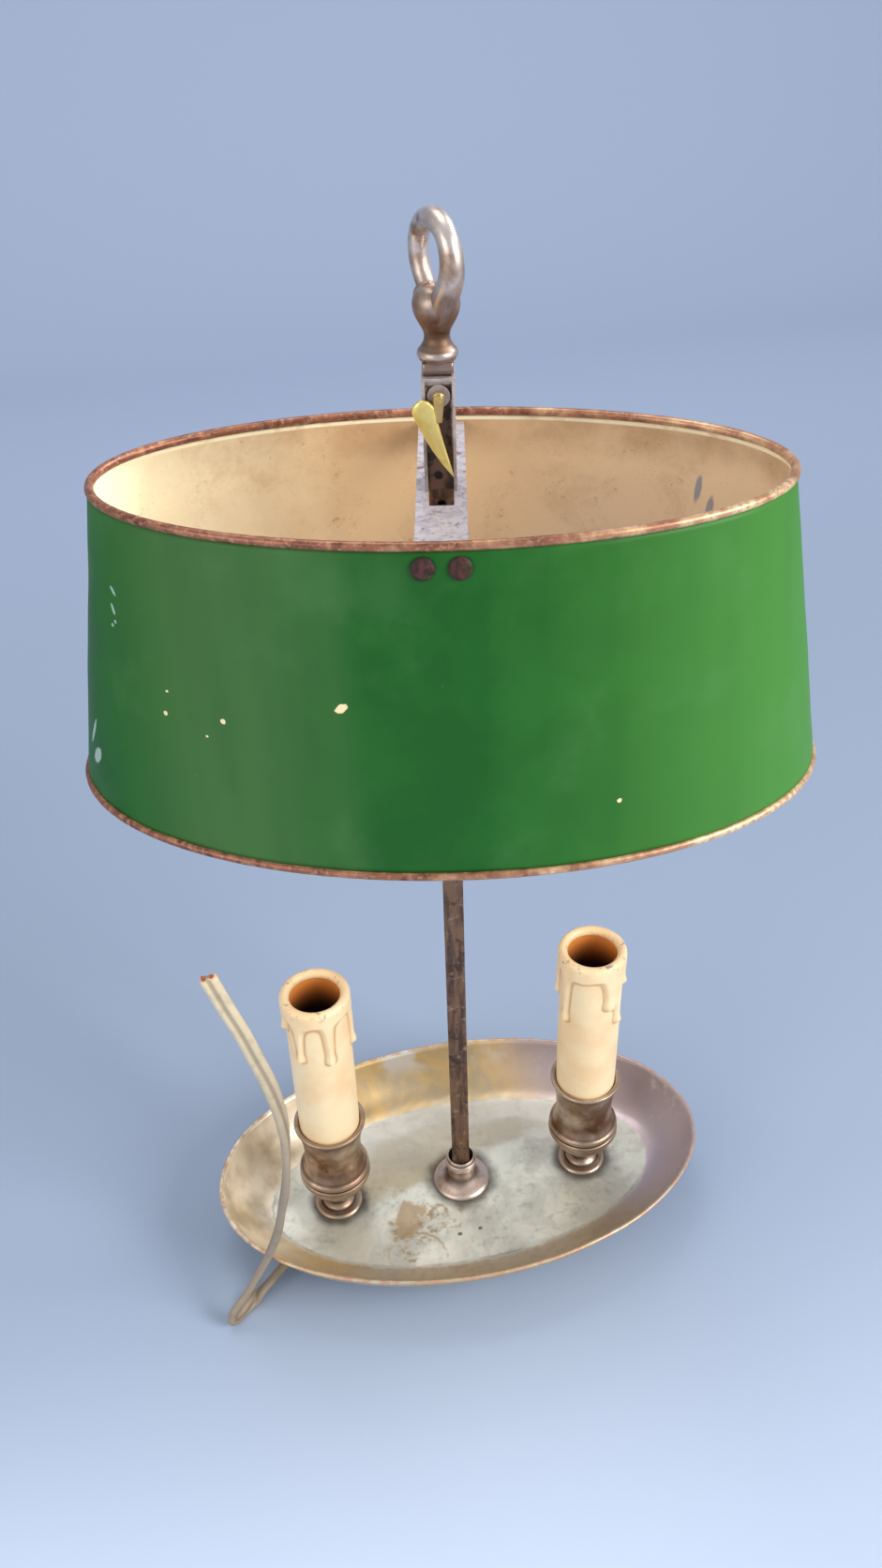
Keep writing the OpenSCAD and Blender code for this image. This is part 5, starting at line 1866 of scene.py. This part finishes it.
@dataclass
class Shade:
    """Painted oval shade with wired rims, and the slotted bar that carries it.

    Args:
        sheet: Thickness of the sheet in millimetres.
        around: Points round the oval.
        rows: Rows down the wall.
        head: Radius and height of a rivet's shank and head, up from the head's base.
        head_rise: Height of the frame's own rivet heads, from base to tip.
    """

    sheet: float = 0.9
    around: int = 320
    rows: int = 60
    head: tuple = (
        (1.3, -2.3), (1.3, -0.02), (3.2, 0.0), (3.6, 0.2), (3.35, 0.62), (2.5, 1.05), (1.2, 1.32), (0.01, 1.4),
    )
    head_rise: float = 2.0

    @property
    def wire(self) -> float:
        """Radius of the rolled rims."""
        return float(Span.of("shade_top_wire").size[2]) / 2

    def halves(self, node: str) -> tuple[float, float, float]:
        """Half length, half width and height of the middle line of one rim."""
        a, b = oval_halves(node)
        return a - self.wire, b - self.wire, float(Span.of(node).middle[2])

    def wall(self) -> Piece:
        """Green outside and cream inside, each half sheet from the rims' middle line."""
        top_a, top_b, top_z = self.halves("shade_top_wire")
        low_a, _, low_z = self.halves("shade_bottom_wire")
        v = np.linspace(0.012, 0.988, self.rows)
        q = (low_a - top_a) * v
        z = top_z + (low_z - top_z) * v
        down = np.stack([q + self.sheet / 2, z], axis=1)
        up = np.stack([q - self.sheet / 2, z], axis=1)[::-1]
        surface = oval_form(np.vstack([down, up]), top_a, top_b, self.around)
        surface.faces = grid_faces(2 * self.rows, self.around, wrap_rows=True)[:, ::-1]
        dent = ripple(surface.points, 60, 21) * 0.22 + ripple(surface.points, 24, 22) * 0.06
        out = surface.points * (1 / top_a**2, 1 / top_b**2, 0)
        out /= np.linalg.norm(out, axis=1, keepdims=True)
        surface.points += out * dent[:, None]
        face_row = np.arange(2 * self.rows).repeat(self.around)
        surface.parts = ((face_row >= self.rows - 1) & (face_row < 2 * self.rows - 1)).astype(int)
        finishes = [GreenEnamel(), CreamLining()]
        surface = surface.turned_about_stem()
        return make_piece("shade_wall", surface, Body.SHADE, finishes, ["shade_shell"])

    def rim(self, node: str, name: str, seed: int) -> Piece:
        """One rolled rim: a round section carried along the oval, a little uneven."""
        a, b, z = self.halves(node)
        t = np.linspace(0, 2 * np.pi, self.around * 2, endpoint=False)
        path = np.stack([a * np.cos(t), b * np.sin(t), np.full_like(t, z)], axis=1)
        side = np.stack([b * np.cos(t), a * np.sin(t), np.zeros_like(t)], axis=1)
        uneven = 1 + 0.035 * ripple(path, 9, seed) + 0.02 * ripple(path, 4, seed + 1)
        section = ring_section(self.wire, self.wire, 20)[None] * np.minimum(uneven, 1.0)[:, None, None]
        surface = rod_form(path, side, section, closed=True).turned_about_stem()
        return make_piece(name, surface, Body.SHADE, [WornRim()], [node])

    def rivets(self) -> Piece:
        """Four domed heads with their shanks, found where the frame's rivets stand."""
        mesh = frame["nodes"]["crossbar_rivets"].data
        co = np.array([v.co for v in mesh.vertices]) / MM
        flat = turned(co, -TURN)
        top_a, _, top_z = self.halves("shade_top_wire")
        low_a, _, low_z = self.halves("shade_bottom_wire")
        slope = math.atan2(low_a - top_a, top_z - low_z)
        dome = curve_through(np.array(self.head), 5)
        heads = []
        for end in (-1, 1):
            for wing in (-1, 1):
                pick = flat[(np.sign(flat[:, 0]) == wing) & (np.sign(flat[:, 1]) == end)]
                lift = end * math.cos(slope) * pick[:, 1] + math.sin(slope) * pick[:, 2]
                tip = pick[lift > lift.max() - 0.01].mean(axis=0)
                way = np.array([0, end * math.cos(slope), math.sin(slope)])
                head = turned_form(dome, 40)
                level = np.array([1.0, 0, 0])
                lie = np.cross(way, level)
                head.points = head.points @ np.stack([level, lie, way]) + tip - way * self.head_rise
                heads.append(head)
        surface = reduce(Surface.joined, heads).turned_about_stem()
        return make_piece("rivets", surface, Body.SHADE, [DarkIron()], ["crossbar_rivets"])

    def build(self) -> None:
        """Builds the wall, the rims, the bar and its rivets."""
        self.wall()
        self.rim("shade_top_wire", "rim_top", 31)
        self.rim("shade_bottom_wire", "rim_bottom", 41)
        self.rivets()
        softened("crossbar", "slotted_bar", Body.SHADE, MottledZinc(), 0.25)
        softened("clamp_sleeve", "clamp", Body.SHADE, ClampPlate(), 0.25)


@dataclass
class ClampKey:
    """Thumb screw with its leaf-shaped brass grip.

    Args:
        tilt: Lean of the leaf from upright, in degrees.
        head: Radius of the leaf's round head in millimetres.
        reach: From the middle of the head to the tip.
        thick: Thickness of the leaf at its middle.
        aside: Place of the head across the screw.
    """

    tilt: float = 22.5
    head: float = 3.5
    reach: float = 22.9
    thick: float = 2.2
    aside: float = -4.7

    def build(self) -> None:
        """Builds the leaf, its stalk and the screw."""
        self.leaf()
        softened("thumb_screw", "screw", Body.CLAMP_KEY, PlainBrass(), 0.2)

    def leaf(self) -> Piece:
        """A plump leaf: half width round at the head and drawn in to a sharp tip.

        Down the leaf, t runs from 0 at the head to 1 at the tip. The half width is
        that of a circle over the head and falls as a soft curve after it. Across the
        leaf each section is a flattened oval, thicker at the front than at the back.

        Returns:
            The piece.
        """
        joint = next(j for j in frame["joints"] if j["name"] == "clamp_turn")
        screw_z = joint["pos_m"][2] / MM
        flat = turned(np.array([list(v.co) for v in frame["nodes"]["leaf_grip"].data.vertices]) / MM, -TURN)
        back, front = flat[:, 1].max(), flat[:, 1].min()
        tip_z = flat[:, 2].min()
        lean = math.radians(self.tilt)
        drop = screw_z - tip_z - self.reach * math.cos(lean)
        t = np.concatenate([1 - np.cos(np.linspace(0, np.pi / 2, 16)), [2]])[:-1]
        s = np.concatenate([-self.head + self.head * t, np.linspace(0, self.reach, 40)[1:]])
        u = np.clip(s / self.reach, 0, 1)
        rounded = np.sqrt(np.clip(self.head**2 - s**2, 0, None))
        tapered = self.head * (1 - u) ** 0.82 * (1 + 0.22 * u)
        half = np.maximum(np.where(s < 0, rounded, tapered), 0.04)
        bend = -0.5 * np.sin(u * np.pi)
        plump = self.thick / 2 * np.clip(half / self.head, 0, 1) ** 0.45
        section = oval_sections(half, plump, 36)
        middle = (back + front) / 2
        x = self.aside + s * math.sin(lean) + bend * math.cos(lean)
        z = screw_z - drop - s * math.cos(lean) + bend * math.sin(lean)
        path = np.stack([x, np.full_like(x, middle), z], axis=1)
        side = np.repeat(np.array([[math.cos(lean), 0.0, math.sin(lean)]]), len(s), axis=0)
        blade = rod_form(path, side, section)
        stalk = self.stalk(screw_z, drop, middle)
        blade.marks["stalk"] = np.zeros(len(blade.points))
        stalk.marks["stalk"] = np.ones(len(stalk.points))
        surface = blade.joined(stalk).turned_about_stem()
        return make_piece("leaf", surface, Body.CLAMP_KEY, [PaleBrass()], ["leaf_grip"])

    def stalk(self, screw_z: float, drop: float, middle: float) -> Surface:
        """Tapered stalk from the screw's hub down into the leaf's right side."""
        t = np.linspace(0, 1, 24)
        z = screw_z + 1.9 - t * (drop + 5.4)
        x = 0.1 - 0.5 * t
        path = np.stack([x, middle + 0.5 + 0 * t, z], axis=1)
        rounded = 1.9 * np.sqrt(np.clip(1 - ((0.14 - t) / 0.15) ** 2, 0.05, 1))
        half = np.where(t < 0.14, rounded, 1.9 - 0.5 * t)
        deep = np.minimum(half, self.thick / 2)
        section = oval_sections(half, deep, 28)
        return rod_form(path, np.repeat(np.array([[1.0, 0, 0]]), 24, axis=0), section)


LEFT_DRIPS = (
    (192, 16, 2.0), (229, 30, 2.1), (284, 31, 2.2), (350, 31, 2.2), (16, 24, 2.1),
    (52, 38, 2.3), (98, 24, 2.5), (142, 34, 2.1),
)
RIGHT_DRIPS = (
    (203, 36, 2.3), (289, 26, 2.6), (312, 37, 2.2), (350, 22, 2.0), (34, 34, 2.3),
    (75, 25, 2.1), (118, 37, 2.4), (160, 28, 2.2),
)


def main() -> None:
    """Builds the sub-assemblies in order."""
    logging.basicConfig(level=logging.INFO, format="%(name)s: %(message)s")
    Studio().build()
    Cord().build()
    Tray().build()
    Feet().build()
    Stem().build()
    CandleLight(Side.LEFT, LEFT_DRIPS).build()
    CandleLight(Side.RIGHT, RIGHT_DRIPS).build()
    Finial().build()
    Shade().build()
    ClampKey().build()


if __name__ == "__main__":
    main()
